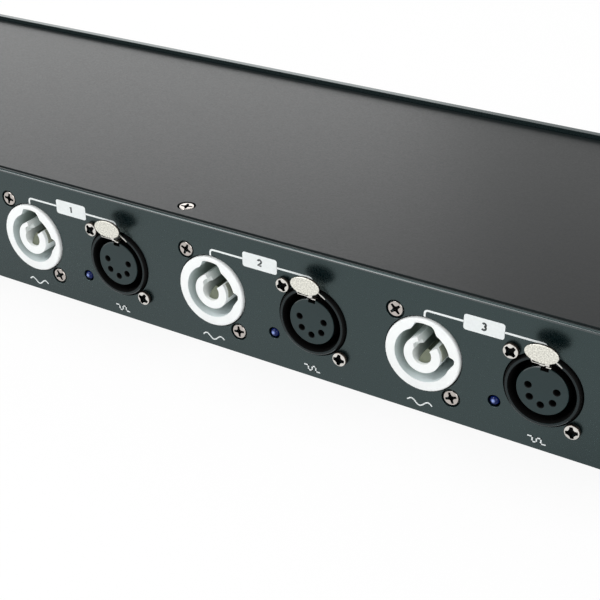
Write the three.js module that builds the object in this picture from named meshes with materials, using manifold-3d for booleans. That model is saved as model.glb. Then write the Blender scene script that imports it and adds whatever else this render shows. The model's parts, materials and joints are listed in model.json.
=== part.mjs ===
// A one-unit rack box that splits mains power and a lighting control line to four output groups.
// While it is built, x runs along the connector face, y runs from that face into the case and
// z is up from the surface that the case stands on. Lengths are in millimetres.
// Each connector is drawn in its own frame: x right, y up, z out of the panel, zero on the panel.

import * as THREE from 'three';
import { mergeVertices } from 'three/addons/utils/BufferGeometryUtils.js';
import Module from 'manifold-3d';

const wasm = await Module();
wasm.setup();

// Clearances that the whole case shares.
const SEAT = 0.2; // between two faces that touch
const OVERRUN = 0.5; // how far a cut passes the face, or a joined piece sinks in
const MERGE_TOLERANCE = 0.0001;

// Layout of the connector face, from the left side of the case to the right.
const OUTPUT_COUNT = 4;
const LEFT_MARGIN = 29.7; // side of the case to the inlet
const INPUT_ZONE = 132; // inlet to the first power outlet
const GROUP_PITCH = 72.9; // one output group to the next
const GROUP_SPREAD = 36.3; // power outlet to signal socket of a group
const RIGHT_MARGIN = 23.3; // last signal socket to the side of the case

// Sheet case. The connector wall ends flush with the cover, which lies behind it.
const BODY_WIDTH =
  LEFT_MARGIN + INPUT_ZONE + (OUTPUT_COUNT - 1) * GROUP_PITCH + GROUP_SPREAD + RIGHT_MARGIN;
const BODY_DEPTH = 126.5; // connector face to the back of the front panel
const TRAY_SHEET = 1.5;
const COVER_SHEET = 1.2;
const TRAY_FOLD_R = 2; // outside of the tray's rear folds
const COVER_FOLD_R = COVER_SHEET + SEAT; // outside of the cover's folds
const FLANGE_LENGTH = 14.5; // shelves behind both walls that carry the cover
const SIDE_TAB_HEIGHT = 14; // turned-up sides inside the cover's skirts
const SIDE_TAB_RELIEF = 6; // side tabs stop short of the folds
const COVER_GAP = 1.05; // connector wall to the cover's edge
const SKIRT_LIFT = 1; // skirt's lower edge above the floor
const TRAY_WIDTH = BODY_WIDTH - 2 * (COVER_SHEET + SEAT);
const TRAY_DEPTH = BODY_DEPTH - SEAT;
const COVER_FRONT = TRAY_SHEET + COVER_GAP;

// Cooling slots through both skirts.
const VENT_COUNT = 4;
const VENT_WIDTH = 3;
const VENT_HEIGHT = 17;
const VENT_PITCH = 8;

// Rack panel on the far side from the connectors.
const PANEL_SHEET = 2.5;
const PANEL_RISE = 1.66; // panel above the cover
const PANEL_CORNER = 1.5;
const EAR_WIDTH = 21.3;
const EAR_HOLE_OUT = 12.55; // side of the case to the slots' centres
const RACK_SLOT_EDGE = 5.955; // slots' centres to the panel's upper and lower edges
const RACK_SLOT_LENGTH = 10.3;
const RACK_SLOT_WIDTH = 6.8;
const PANEL_WIDTH = BODY_WIDTH + 2 * EAR_WIDTH;
const PANEL_FACE = BODY_DEPTH + PANEL_SHEET;

// Machine screws.
const SCREW_R = 1.25;
const SCREW_CLEAR = 0.35;
const SCREW_HOLE_R = SCREW_R + SCREW_CLEAR;
const SCREW_LENGTH = 6.5;
const PAN_HEAD_R = 2.4;
const PAN_HEAD_HEIGHT = 1.5;
const PAN_CROWN_SHARE = 0.3; // height of the rounded part of a pan head
const PAN_TOP_SHARE = 0.65; // flat top of a pan head
const SINK_HEAD_R = 2.5;
const SINK_HEAD_DROP = 0.1; // head below the surface
const SINK_DEPTH = 1.05;
const SINK_MARGIN = 0.5; // bare countersink round the head
const SINK_R = SINK_HEAD_R + SINK_MARGIN;
const HEAD_CLEAR = 0.3; // head or countersink to the connector's ring
const COVER_SCREW_INSET = 20;
const PANEL_SCREW_INSET = 20;
const PANEL_SCREW_EDGE = 8.33; // screws to the panel's upper and lower edges

// Panel connectors.
const CONNECTOR_DEPTH = 18.5; // panel face to the back of each connector
const PLATE_SHEET = 2; // fixing plate behind the panel
const PLATE_TOP = -(TRAY_SHEET + SEAT);

// Power connector: a cup with a split core.
const POWER_BORE_R = 8.7;
const POWER_WALL = 3.3;
const POWER_PROUD = 0.9;
const POWER_LIP = 0.4; // rounded outer edge
const POWER_BORE_DEPTH = 15.5;
const POWER_RING_CLEAR = 0.25;
const PLUG_GAP = 3; // room for the plug between ring and core
const CORE_WALL = 2.8;
const CORE_GAP_FROM = 40; // degrees from the x axis
const CORE_GAP_TO = 102;
const TOP_KEY_HALF = 2.9;
const TOP_KEY_DEPTH = 1.7;
const TOP_KEY_FLARE = 1.2; // each side widens towards the bore
const SIDE_KEY_HALF = 0.6;
const SIDE_KEY_DEPTH = 1.4;
const SIDE_KEY_LIFT = 0.65;
const SIDE_KEY_RAMP = 2.6; // lower side runs out into the bore
const SIDE_KEY_SLANT = 0.75; // upper side rises towards the bore
const CONTACT_SINK = 1.6; // contact below the core's face
const CONTACT_SIDE_SHARE = 0.12; // contact's edge left of the core's centre
const POWER_SCREW_ANGLE = 51.6; // degrees from the x axis
const POWER_PLATE_EDGE = 3.5;
const PLATE_CORNER = 1.5;
const POWER_RING_R = POWER_BORE_R + POWER_WALL;
const CORE_R = POWER_BORE_R - PLUG_GAP;
const CORE_BORE_R = CORE_R - CORE_WALL;
const POWER_HOLE_R = POWER_RING_R + POWER_RING_CLEAR;
const POWER_SCREW_OUT = POWER_RING_R + SINK_R + HEAD_CLEAR;
const POWER_SCREW_X = POWER_SCREW_OUT * Math.cos(THREE.MathUtils.degToRad(POWER_SCREW_ANGLE));
const POWER_SCREW_Y = POWER_SCREW_OUT * Math.sin(THREE.MathUtils.degToRad(POWER_SCREW_ANGLE));
const POWER_PLATE_HALF = POWER_SCREW_Y + POWER_PLATE_EDGE;

// Heights of the case, built up from the power connectors' fixing plates.
const PLATE_ROOM_BELOW = 2.81; // tray's floor to the plates
const PLATE_ROOM_ABOVE = 3.81; // plates to the flange
const CONNECTOR_Z = TRAY_SHEET + PLATE_ROOM_BELOW + POWER_PLATE_HALF;
const FLANGE_TOP = CONNECTOR_Z + POWER_PLATE_HALF + PLATE_ROOM_ABOVE + TRAY_SHEET;
const BODY_HEIGHT = FLANGE_TOP + SEAT + COVER_SHEET;
const PANEL_HEIGHT = BODY_HEIGHT + PANEL_RISE;
const RACK_HOLE_RISE = PANEL_HEIGHT - 2 * RACK_SLOT_EDGE;
const PANEL_SCREW_RISE = PANEL_HEIGHT - 2 * PANEL_SCREW_EDGE;

// Signal socket: shell, contact insert and sprung latch.
const DMX_BORE_R = 9.6;
const DMX_WALL = 1.7;
const DMX_PROUD = 1;
const DMX_STEP = 0.3; // ring's straight side in front of the panel
const DMX_SLOPE = 0.4; // ring narrows by this towards its face
const DMX_BORE_DEPTH = 14;
const DMX_RING_CLEAR = 0.4;
const SHELL_GAP = 2.1; // room for the plug's shell round the insert
const INSERT_PROUD = 0.7;
const INSERT_KEY_WIDTH = 2.4;
const INSERT_KEY_DEPTH = 1.2;
const PIN_COUNT = 5;
const PIN_CIRCLE_R = 4.28;
const PIN_STEP = 52; // degrees between neighbouring pins
const PIN_DROP = 0.2; // pins' circle below the socket's axis
const PIN_HOLE_R = 0.95;
const PIN_HOLE_DEPTH = 9;
const DMX_PLATE_EDGE = 1.9;
const DMX_RING_R = DMX_BORE_R + DMX_WALL;
const DMX_HOLE_R = DMX_RING_R + DMX_RING_CLEAR;
const INSERT_R = DMX_BORE_R - SHELL_GAP;
const DMX_SCREW = (DMX_RING_R + PAN_HEAD_R + HEAD_CLEAR) * Math.SQRT1_2;
const DMX_PLATE = 2 * (DMX_SCREW + DMX_PLATE_EDGE);

// Latch lever: push pad in front of the panel, arm through the ring, hook and pivot.
const LATCH_WIDTH = 5;
const LATCH_SHEET = 0.9;
const LATCH_SIDE_CLEAR = 0.5;
const LATCH_RISE = 0.35; // arm's middle above the bore's edge
const PAD_WIDTH = 9.8;
const PAD_HEIGHT = 5.6;
const PAD_SHEET = 1.1;
const PAD_STANDOFF = 3.9; // panel to the back of the pad
const PAD_RISE = 2.75; // pad's middle above the ring
const PAD_TONGUE = 0.45; // tongue below the pad's oval
const ARM_SPRINGS_AT = 0.8; // where the arm starts to slope up to the pad
const HOOK_WIDTH = 1.8;
const HOOK_LENGTH = 2;
const HOOK_SETBACK = 0.2;
const HOOK_CLEAR = 0.4; // hook's tip above the insert
const HOOK_RAKE_SHARE = 0.4;
const PIVOT_DEPTH = 5;
const PIVOT_BARREL_R = 1.3;
const PIVOT_PIN_R = 0.6;
const PIVOT_PIN_CLEAR = 0.3;
const LUG_WALL = 2.2;
const LUG_REACH = 3.5; // lugs behind the pivot
const LUG_RISE = 3; // lugs above the pivot
const PIVOT_Y = DMX_BORE_R + LATCH_RISE;
const PAD_Y = DMX_RING_R + PAD_RISE;
const SLOT_HALF = LATCH_WIDTH / 2 + LATCH_SIDE_CLEAR;
const LUG_HALF = SLOT_HALF + LUG_WALL;

// Signal inlet: open shell with pins.
const INLET_BORE_R = 8.4;
const INLET_KEY_WIDTH = 5;
const INLET_KEY_DEPTH = 1.3;
const INLET_BASE = 2.2; // thickness of the insulator that carries the pins
const PIN_R = 0.8;
const PIN_SINK = 2; // pin tips below the ring's face

// Indicator lamp.
const LAMP_R = 1.5;
const LAMP_CLEAR = 0.42;
const LAMP_PROUD = 0.4;
const LAMP_RIM = 0.4;
const LAMP_RIM_HEIGHT = 0.9;
const LAMP_DROP = 8.44; // lamp below the connectors' centres
const LEG_SIZE = 0.6;
const LEG_SPREAD = 1.27;
const LAMP_HOLE_R = LAMP_R + LAMP_CLEAR;
const LAMP_X = -(DMX_PLATE / 2 + LAMP_R + LAMP_CLEAR);

// Rocker switch on the rack panel.
const SWITCH_INSET = 32; // side of the case to the switch
const BEZEL_WIDTH = 15;
const BEZEL_HEIGHT = 21;
const BEZEL_PROUD = 1.8;
const BEZEL_CORNER = 1.5;
const BEZEL_WALL = 3.6; // bezel's edge to the rocker, side to side
const BEZEL_END = 1.5; // bezel's edge to the rocker's opening, top and bottom
const SWITCH_BODY_WALL = 1; // body round the rocker's opening
const SWITCH_CUT_CLEAR = 0.3;
const SWITCH_DEPTH = 16;
const ROCKER_GAP = 0.25;
const ROCKER_TILT = 10; // degrees each way
const ROCKER_CROWN = 3.2; // middle of the rocker's face to its pivot
const ROCKER_SINK = 1.5; // pivot below the panel's face
const ROCKER_END_CLEAR = 1;
const ROCKER_ROOT = 3;
const ROCKER_CAVITY = 7;
const ROCKER_PIN_R = 0.8;
const TERMINAL_WIDTH = 4.8;
const TERMINAL_SHEET = 0.8;
const TERMINAL_LENGTH = 7;
const TERMINAL_PITCH = 8;
const OPENING_HALF_WIDTH = BEZEL_WIDTH / 2 - BEZEL_WALL + ROCKER_GAP + SWITCH_BODY_WALL;
const OPENING_HALF_HEIGHT = BEZEL_HEIGHT / 2 - BEZEL_END;
const SWITCH_X = -(BODY_WIDTH / 2 - SWITCH_INSET);
const SWITCH_LAMP_GAP = 9; // bezel to the lamp beside it

// Circuit boards.
const BOARD_SHEET = 1.6;
const BOARD_EDGE = 12; // board beyond the outermost connector
const BOARD_LIFT = 3; // board above the tray's floor and below its flange
const MODULE_WIDTH = 22;
const MODULE_HEIGHT = 12;
const MODULE_DEPTH = 9;
const DRIVER_WIDTH = 10;
const DRIVER_HEIGHT = 6;
const DRIVER_DEPTH = 2.6;
const SUPPLY_WIDTH = 95;
const SUPPLY_DEPTH = 58;
const SUPPLY_FROM_LEFT = 72; // side of the case to the supply board
const STANDOFF_HEIGHT = 6;
const STANDOFF_R = 2.75;
const STANDOFF_SIDES = 6;
const STANDOFF_INSET = 5;
const TRANSFORMER_WIDTH = 32;
const TRANSFORMER_DEPTH = 28;
const TRANSFORMER_HEIGHT = 22;
const HEATSINK_SHEET = 4;
const HEATSINK_DEPTH = 44;
const HEATSINK_HEIGHT = 18;
const CAPACITOR_R = 8;
const CAPACITOR_HEIGHT = 20;
const BOARD_FACE = CONNECTOR_DEPTH + SEAT;
const BOARD_BACK = BOARD_FACE + BOARD_SHEET;

// Inner leads.
const LEAD_R = 2.2;
const LEAD_SIDES = 8;
const LEAD_STEPS = 8;
const LEAD_END_GAP = 0.3;
const LEAD_STRAIGHT = 8; // stretch at each end that runs square to what it meets
const LEAD_SAG = 6;

// How finely round shapes are divided.
const RING_FACETS = 24;
const INSERT_FACETS = 20;
const HEAD_FACETS = 8;
const SMALL_FACETS = 8;
const FOLD_FACETS = 2;
const CORNER_FACETS = 2;
const PLATE_CORNER_FACETS = 1;
const PAD_FACETS = 9;
const CORE_FACETS = 9;
const LAMP_FACETS = 8;
const DOME_STEPS = 2;

const FINISH = {
  coat: { color: 0x343b3e, roughness: 0.42, metalness: 0.1 },
  coverCoat: { color: 0x3c4143, roughness: 0.5, metalness: 0.1 },
  whitePlastic: { color: 0xf1f3f2, roughness: 0.4, metalness: 0 },
  bluePlastic: { color: 0x1d57a8, roughness: 0.4, metalness: 0 },
  blackShell: { color: 0x15181a, roughness: 0.35, metalness: 0.1 },
  insert: { color: 0x2b3234, roughness: 0.5, metalness: 0 },
  nickel: { color: 0xb9b3ab, roughness: 0.3, metalness: 1 },
  lamp: { color: 0x10188c, roughness: 0.15, metalness: 0 },
  blackPlastic: { color: 0x101112, roughness: 0.4, metalness: 0 },
  board: { color: 0x1f5a38, roughness: 0.5, metalness: 0 },
  lead: { color: 0x2a2a2a, roughness: 0.6, metalness: 0 },
};

// Outline drawn as (y, z) and extruded along x.
const ALONG_X = new THREE.Matrix4().makeBasis(
  new THREE.Vector3(0, 1, 0),
  new THREE.Vector3(0, 0, 1),
  new THREE.Vector3(1, 0, 0),
);
// Outline drawn as (x, z) and extruded towards the connector face.
const ALONG_Y = new THREE.Matrix4().makeBasis(
  new THREE.Vector3(1, 0, 0),
  new THREE.Vector3(0, 0, 1),
  new THREE.Vector3(0, -1, 0),
);
// Side view of a connector, drawn as (out, up) and extruded across it.
const ACROSS = new THREE.Matrix4().makeBasis(
  new THREE.Vector3(0, 0, 1),
  new THREE.Vector3(0, 1, 0),
  new THREE.Vector3(-1, 0, 0),
);

function solidOf(geometry) {
  const bare = geometry.clone();
  bare.deleteAttribute('normal');
  bare.deleteAttribute('uv');
  const merged = mergeVertices(bare, MERGE_TOLERANCE);
  return new wasm.Manifold(new wasm.Mesh({
    numProp: 3,
    vertProperties: new Float32Array(merged.attributes.position.array),
    triVerts: new Uint32Array(merged.index.array),
  }));
}

function geometryOf(solid) {
  const mesh = solid.getMesh();
  const geometry = new THREE.BufferGeometry();
  geometry.setAttribute('position', new THREE.BufferAttribute(mesh.vertProperties, 3));
  geometry.setIndex(new THREE.BufferAttribute(mesh.triVerts, 1));
  geometry.computeVertexNormals();
  return geometry;
}

function join(...geometries) {
  return geometries.map(solidOf).reduce((whole, next) => whole.add(next));
}

function cut(solid, ...geometries) {
  return geometries.map(solidOf).reduce((whole, next) => whole.subtract(next), solid);
}

function piece(parent, name, solid, finish) {
  const mesh = new THREE.Mesh(geometryOf(solid), new THREE.MeshStandardMaterial(FINISH[finish]));
  mesh.name = name;
  parent.add(mesh);
}

function extrude(outline, depth, curveSegments) {
  return new THREE.ExtrudeGeometry(outline, { depth, bevelEnabled: false, curveSegments });
}

// A profile of (radius, height) points revolved about z.
function turned(profile, facets) {
  const points = profile.map(([radius, height]) => new THREE.Vector2(radius, height));
  return new THREE.LatheGeometry(points, facets).rotateX(Math.PI / 2);
}

function box(width, height, depth, x, y, z) {
  return new THREE.BoxGeometry(width, height, depth).translate(x, y, z);
}

function rodAlongX(radius, length, facets, y, z) {
  return new THREE.CylinderGeometry(radius, radius, length, facets)
    .rotateZ(Math.PI / 2)
    .translate(0, y, z);
}

function roundedRectangle(width, height, radius, x = 0, y = 0) {
  const shape = new THREE.Shape();
  const right = x + width / 2 - radius;
  const left = x - width / 2 + radius;
  const top = y + height / 2 - radius;
  const bottom = y - height / 2 + radius;
  shape.absarc(right, top, radius, 0, Math.PI / 2);
  shape.absarc(left, top, radius, Math.PI / 2, Math.PI);
  shape.absarc(left, bottom, radius, Math.PI, Math.PI * 1.5);
  shape.absarc(right, bottom, radius, Math.PI * 1.5, Math.PI * 2);
  shape.closePath();
  return shape;
}

function polygon(points) {
  return new THREE.Shape(points.map(([u, v]) => new THREE.Vector2(u, v)));
}

// Section of a folded sheet: its outer corners in order, with the material on their left.
// Every fold turns left through a right angle.
function foldedSheet(corners, sheet, radius) {
  const at = corners.map(([u, v]) => new THREE.Vector2(u, v));
  const last = at.length - 1;
  const heading = at.slice(1).map((point, i) => point.clone().sub(at[i]).normalize());
  const leftOf = (direction) => new THREE.Vector2(-direction.y, direction.x);
  const shape = new THREE.Shape();
  const folds = [];
  for (let i = 1; i < last; i += 1) {
    const centre = at[i].clone()
      .addScaledVector(heading[i - 1], -radius)
      .addScaledVector(leftOf(heading[i - 1]), radius);
    const from = Math.atan2(-heading[i].y, -heading[i].x) + Math.PI;
    folds.push({ centre, from: from - Math.PI, to: from - Math.PI / 2 });
  }
  const start = at[0];
  const end = at[last];
  const inStart = start.clone().addScaledVector(leftOf(heading[0]), sheet);
  const inEnd = end.clone().addScaledVector(leftOf(heading[last - 1]), sheet);
  shape.moveTo(inStart.x, inStart.y);
  shape.lineTo(start.x, start.y);
  folds.forEach(({ centre, from, to }) => {
    shape.absarc(centre.x, centre.y, radius, from, to, false);
  });
  shape.lineTo(end.x, end.y);
  shape.lineTo(inEnd.x, inEnd.y);
  folds.reverse().forEach(({ centre, from, to }) => {
    shape.absarc(centre.x, centre.y, radius - sheet, to, from, true);
  });
  shape.closePath();
  return shape;
}

// Where things stand along the connector face.
const INLET_X = -BODY_WIDTH / 2 + LEFT_MARGIN;
const outputs = Array.from({ length: OUTPUT_COUNT }, (_, i) => ({
  number: i + 1,
  power: INLET_X + INPUT_ZONE + i * GROUP_PITCH,
  signal: INLET_X + INPUT_ZONE + i * GROUP_PITCH + GROUP_SPREAD,
}));
const powerPlaces = [INLET_X, ...outputs.map((output) => output.power)];
const signalPlaces = [INLET_X + GROUP_SPREAD, ...outputs.map((output) => output.signal)];
const lastSignal = signalPlaces[signalPlaces.length - 1];
const powerScrews = [[-POWER_SCREW_X, POWER_SCREW_Y], [POWER_SCREW_X, -POWER_SCREW_Y]];
const signalScrews = [[-DMX_SCREW, DMX_SCREW], [DMX_SCREW, -DMX_SCREW]];
const coverScrews = [
  ['left', -TRAY_WIDTH / 2 + COVER_SCREW_INSET],
  ['middle', 0],
  ['right', TRAY_WIDTH / 2 - COVER_SCREW_INSET],
];
const COVER_SCREW_Y = (COVER_FRONT + FLANGE_LENGTH) / 2;
const panelScrews = [
  ['upper_left', -1, 1],
  ['upper_right', 1, 1],
  ['lower_left', -1, -1],
  ['lower_right', 1, -1],
].map(([name, across, up]) => ({
  name,
  x: across * (BODY_WIDTH / 2 - PANEL_SCREW_INSET),
  z: PANEL_HEIGHT / 2 + up * PANEL_SCREW_RISE / 2,
}));
const LAMP_SWITCH_X = SWITCH_X + BEZEL_WIDTH / 2 + SWITCH_LAMP_GAP;
const PANEL_MIDDLE = PANEL_HEIGHT / 2;

// Cutters drawn like a connector: z out of the surface, zero on it.
function sinkCutter() {
  return turned([
    [0, -SCREW_LENGTH],
    [SCREW_HOLE_R, -SCREW_LENGTH],
    [SCREW_HOLE_R, -SINK_DEPTH],
    [SINK_R, 0],
    [SINK_R, OVERRUN],
    [0, OVERRUN],
  ], SMALL_FACETS);
}

function screwHoleCutter() {
  return turned([
    [0, -SCREW_LENGTH],
    [SCREW_HOLE_R, -SCREW_LENGTH],
    [SCREW_HOLE_R, OVERRUN],
    [0, OVERRUN],
  ], SMALL_FACETS);
}

const onConnectorFace = (geometry, x, z) => geometry.rotateX(Math.PI / 2).translate(x, 0, z);
const onRackPanel = (geometry, x, z) =>
  geometry.rotateX(-Math.PI / 2).translate(x, PANEL_FACE, z);

function holeThroughWall(radius, x, y, z, facets) {
  const length = 2 * TRAY_SHEET + 2 * OVERRUN;
  return new THREE.CylinderGeometry(radius, radius, length, facets).translate(x, y, z);
}

function trayCutters() {
  const cutters = [];
  powerPlaces.forEach((x) => {
    cutters.push(holeThroughWall(POWER_HOLE_R, x, 0, CONNECTOR_Z, RING_FACETS));
    powerScrews.forEach(([dx, dz]) => {
      cutters.push(onConnectorFace(sinkCutter(), x + dx, CONNECTOR_Z + dz));
    });
  });
  signalPlaces.forEach((x) => {
    cutters.push(holeThroughWall(DMX_HOLE_R, x, 0, CONNECTOR_Z, RING_FACETS));
    signalScrews.forEach(([dx, dz]) => {
      cutters.push(onConnectorFace(screwHoleCutter(), x + dx, CONNECTOR_Z + dz));
    });
  });
  outputs.forEach(({ signal }) => {
    const z = CONNECTOR_Z - LAMP_DROP;
    cutters.push(holeThroughWall(LAMP_HOLE_R, signal + LAMP_X, 0, z, LAMP_FACETS));
  });
  coverScrews.forEach(([, x]) => {
    cutters.push(screwHoleCutter().translate(x, COVER_SCREW_Y, FLANGE_TOP));
  });
  panelScrews.forEach(({ x, z }) => {
    cutters.push(holeThroughWall(SCREW_HOLE_R, x, TRAY_DEPTH, z, SMALL_FACETS));
  });
  cutters.push(holeThroughWall(LAMP_HOLE_R, LAMP_SWITCH_X, TRAY_DEPTH, PANEL_MIDDLE, LAMP_FACETS));
  cutters.push(switchCutter(TRAY_DEPTH));
  return cutters;
}

function switchCutter(y) {
  const width = 2 * (OPENING_HALF_WIDTH + SWITCH_CUT_CLEAR);
  const height = 2 * (OPENING_HALF_HEIGHT + SWITCH_CUT_CLEAR);
  return box(width, 2 * (PANEL_SHEET + TRAY_SHEET), height, SWITCH_X, y, PANEL_MIDDLE);
}

const supplyX = -BODY_WIDTH / 2 + SUPPLY_FROM_LEFT + SUPPLY_WIDTH / 2;
const supplyY = (BOARD_BACK + MODULE_DEPTH + TRAY_DEPTH) / 2;
const standoffs = [[-1, -1], [-1, 1], [1, -1], [1, 1]].map(([across, along]) => ({
  x: supplyX + across * (SUPPLY_WIDTH / 2 - STANDOFF_INSET),
  y: supplyY + along * (SUPPLY_DEPTH / 2 - STANDOFF_INSET),
}));

// Floor, rear wall and rear flange are one folded sheet; the connector wall and the shelf
// behind its upper edge are welded to it.
function chassisTray() {
  const section = foldedSheet([
    [0, 0],
    [TRAY_DEPTH, 0],
    [TRAY_DEPTH, FLANGE_TOP],
    [TRAY_DEPTH - FLANGE_LENGTH, FLANGE_TOP],
  ], TRAY_SHEET, TRAY_FOLD_R);
  const shell = extrude(section, TRAY_WIDTH, FOLD_FACETS)
    .applyMatrix4(ALONG_X)
    .translate(-TRAY_WIDTH / 2, 0, 0);
  const wall = box(BODY_WIDTH, TRAY_SHEET, BODY_HEIGHT, 0, TRAY_SHEET / 2, BODY_HEIGHT / 2);
  const shelf = box(
    TRAY_WIDTH,
    FLANGE_LENGTH,
    TRAY_SHEET,
    0,
    FLANGE_LENGTH / 2,
    FLANGE_TOP - TRAY_SHEET / 2,
  );
  const tabLength = TRAY_DEPTH - 2 * SIDE_TAB_RELIEF;
  const tabs = [-1, 1].map((side) => box(
    TRAY_SHEET,
    tabLength,
    SIDE_TAB_HEIGHT,
    side * (TRAY_WIDTH - TRAY_SHEET) / 2,
    TRAY_DEPTH / 2,
    SIDE_TAB_HEIGHT / 2,
  ));
  return cut(join(shell, wall, shelf, ...tabs), ...trayCutters());
}

function topCover() {
  const section = foldedSheet([
    [BODY_WIDTH / 2, SKIRT_LIFT],
    [BODY_WIDTH / 2, BODY_HEIGHT],
    [-BODY_WIDTH / 2, BODY_HEIGHT],
    [-BODY_WIDTH / 2, SKIRT_LIFT],
  ], COVER_SHEET, COVER_FOLD_R);
  const shell = extrude(section, TRAY_DEPTH - COVER_FRONT, FOLD_FACETS)
    .applyMatrix4(ALONG_Y)
    .translate(0, TRAY_DEPTH, 0);
  const sinks = coverScrews.map(([, x]) => {
    return sinkCutter().translate(x, COVER_SCREW_Y, BODY_HEIGHT);
  });
  const vents = Array.from({ length: VENT_COUNT }, (_, i) => {
    const y = TRAY_DEPTH / 2 + (i - (VENT_COUNT - 1) / 2) * VENT_PITCH;
    const slot = roundedRectangle(VENT_WIDTH, VENT_HEIGHT, VENT_WIDTH / 2, y, BODY_HEIGHT / 2);
    const across = BODY_WIDTH + 2 * OVERRUN;
    return extrude(slot, across, CORNER_FACETS).applyMatrix4(ALONG_X).translate(-across / 2, 0, 0);
  });
  return cut(solidOf(shell), ...sinks, ...vents);
}

function frontPanel() {
  const outline = roundedRectangle(PANEL_WIDTH, PANEL_HEIGHT, PANEL_CORNER, 0, PANEL_MIDDLE);
  [-1, 1].forEach((side) => {
    [-1, 1].forEach((up) => {
      const x = side * (BODY_WIDTH / 2 + EAR_HOLE_OUT);
      const z = PANEL_MIDDLE + up * RACK_HOLE_RISE / 2;
      const slot = roundedRectangle(RACK_SLOT_LENGTH, RACK_SLOT_WIDTH, RACK_SLOT_WIDTH / 2, x, z);
      outline.holes.push(slot);
    });
  });
  const plate = extrude(outline, PANEL_SHEET, CORNER_FACETS)
    .applyMatrix4(ALONG_Y)
    .translate(0, PANEL_FACE, 0);
  const sinks = panelScrews.map(({ x, z }) => onRackPanel(sinkCutter(), x, z));
  const lampHole = holeThroughWall(LAMP_HOLE_R, LAMP_SWITCH_X, PANEL_FACE - PANEL_SHEET / 2,
    PANEL_MIDDLE, LAMP_FACETS);
  return cut(solidOf(plate), ...sinks, lampHole, switchCutter(PANEL_FACE));
}

function sunkScrew() {
  const top = -SINK_HEAD_DROP;
  return solidOf(turned([
    [0, -SCREW_LENGTH],
    [SCREW_R, -SCREW_LENGTH],
    [SCREW_R, top - SINK_DEPTH],
    [SINK_HEAD_R, top],
    [0, top],
  ], HEAD_FACETS));
}

function panScrew() {
  const rim = SEAT + PAN_HEAD_HEIGHT * (1 - PAN_CROWN_SHARE);
  return solidOf(turned([
    [0, -SCREW_LENGTH],
    [SCREW_R, -SCREW_LENGTH],
    [SCREW_R, SEAT],
    [PAN_HEAD_R, SEAT],
    [PAN_HEAD_R, rim],
    [PAN_HEAD_R * PAN_TOP_SHARE, SEAT + PAN_HEAD_HEIGHT],
    [0, SEAT + PAN_HEAD_HEIGHT],
  ], HEAD_FACETS));
}

// Plate behind the panel, with a hole for each fixing screw.
function fixingPlate(width, height) {
  return extrude(roundedRectangle(width, height, PLATE_CORNER), PLATE_SHEET, PLATE_CORNER_FACETS)
    .translate(0, 0, PLATE_TOP - PLATE_SHEET);
}

function screwHoles(places) {
  return places.map(([x, y]) => screwHoleCutter().translate(x, y, 0));
}

// C-shaped core, its gap turned to the upper right.
function coreOutline() {
  const from = THREE.MathUtils.degToRad(CORE_GAP_TO);
  const to = THREE.MathUtils.degToRad(CORE_GAP_FROM) + 2 * Math.PI;
  const shape = new THREE.Shape();
  shape.absarc(0, 0, CORE_R, from, to, false);
  shape.absarc(0, 0, CORE_BORE_R, to, from, true);
  shape.closePath();
  return shape;
}

function powerConnector() {
  const face = POWER_PROUD;
  const floor = face - POWER_BORE_DEPTH;
  const cup = turned([
    [0, -CONNECTOR_DEPTH],
    [POWER_RING_R, -CONNECTOR_DEPTH],
    [POWER_RING_R, face - POWER_LIP],
    [POWER_RING_R - POWER_LIP, face],
    [0, face],
  ], RING_FACETS);
  const plate = fixingPlate(
    2 * (POWER_SCREW_X + POWER_PLATE_EDGE),
    2 * POWER_PLATE_HALF,
  );
  const keyDepth = POWER_BORE_DEPTH + OVERRUN;
  const keyRoot = POWER_BORE_R - 2 * OVERRUN;
  const keyTop = POWER_BORE_R + TOP_KEY_DEPTH;
  const topKey = extrude(polygon([
    [-TOP_KEY_HALF - TOP_KEY_FLARE, keyRoot],
    [TOP_KEY_HALF + TOP_KEY_FLARE, keyRoot],
    [TOP_KEY_HALF, keyTop - TOP_KEY_FLARE],
    [TOP_KEY_HALF, keyTop],
    [-TOP_KEY_HALF, keyTop],
    [-TOP_KEY_HALF, keyTop - TOP_KEY_FLARE],
  ]), keyDepth, 1).translate(0, 0, floor);
  const sideKey = extrude(polygon([
    [keyRoot, SIDE_KEY_LIFT - SIDE_KEY_HALF - SIDE_KEY_RAMP],
    [POWER_BORE_R + SIDE_KEY_DEPTH, SIDE_KEY_LIFT - SIDE_KEY_HALF],
    [POWER_BORE_R + SIDE_KEY_DEPTH, SIDE_KEY_LIFT + SIDE_KEY_HALF],
    [keyRoot, SIDE_KEY_LIFT + SIDE_KEY_HALF + SIDE_KEY_SLANT],
  ]), keyDepth, 1).translate(0, 0, floor);
  const core = extrude(coreOutline(), POWER_BORE_DEPTH + OVERRUN, CORE_FACETS)
    .translate(0, 0, floor - OVERRUN);
  // The contact fills the right part of the core's bore and its ends sink into the core.
  const contactEdge = -CORE_BORE_R * CONTACT_SIDE_SHARE;
  const contactReach = CORE_BORE_R + OVERRUN;
  const contactTop = CORE_BORE_R * Math.sin(THREE.MathUtils.degToRad(CORE_GAP_FROM));
  const contactHeight = POWER_BORE_DEPTH - CONTACT_SINK + OVERRUN;
  const contact = box(
    contactReach - contactEdge,
    contactTop + contactReach,
    contactHeight,
    (contactEdge + contactReach) / 2,
    (contactTop - contactReach) / 2,
    floor - OVERRUN + contactHeight / 2,
  );
  const shell = cut(join(cup, plate), bore(POWER_BORE_R, floor, face), topKey, sideKey);
  return cut(
    shell.add(solidOf(core)).add(solidOf(contact)),
    ...screwHoles(powerScrews),
  );
}

// Round cutter that clears a bore from its floor out through its face.
function bore(radius, floor, face) {
  return turned([
    [0, floor],
    [radius, floor],
    [radius, face + OVERRUN],
    [0, face + OVERRUN],
  ], RING_FACETS);
}

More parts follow.
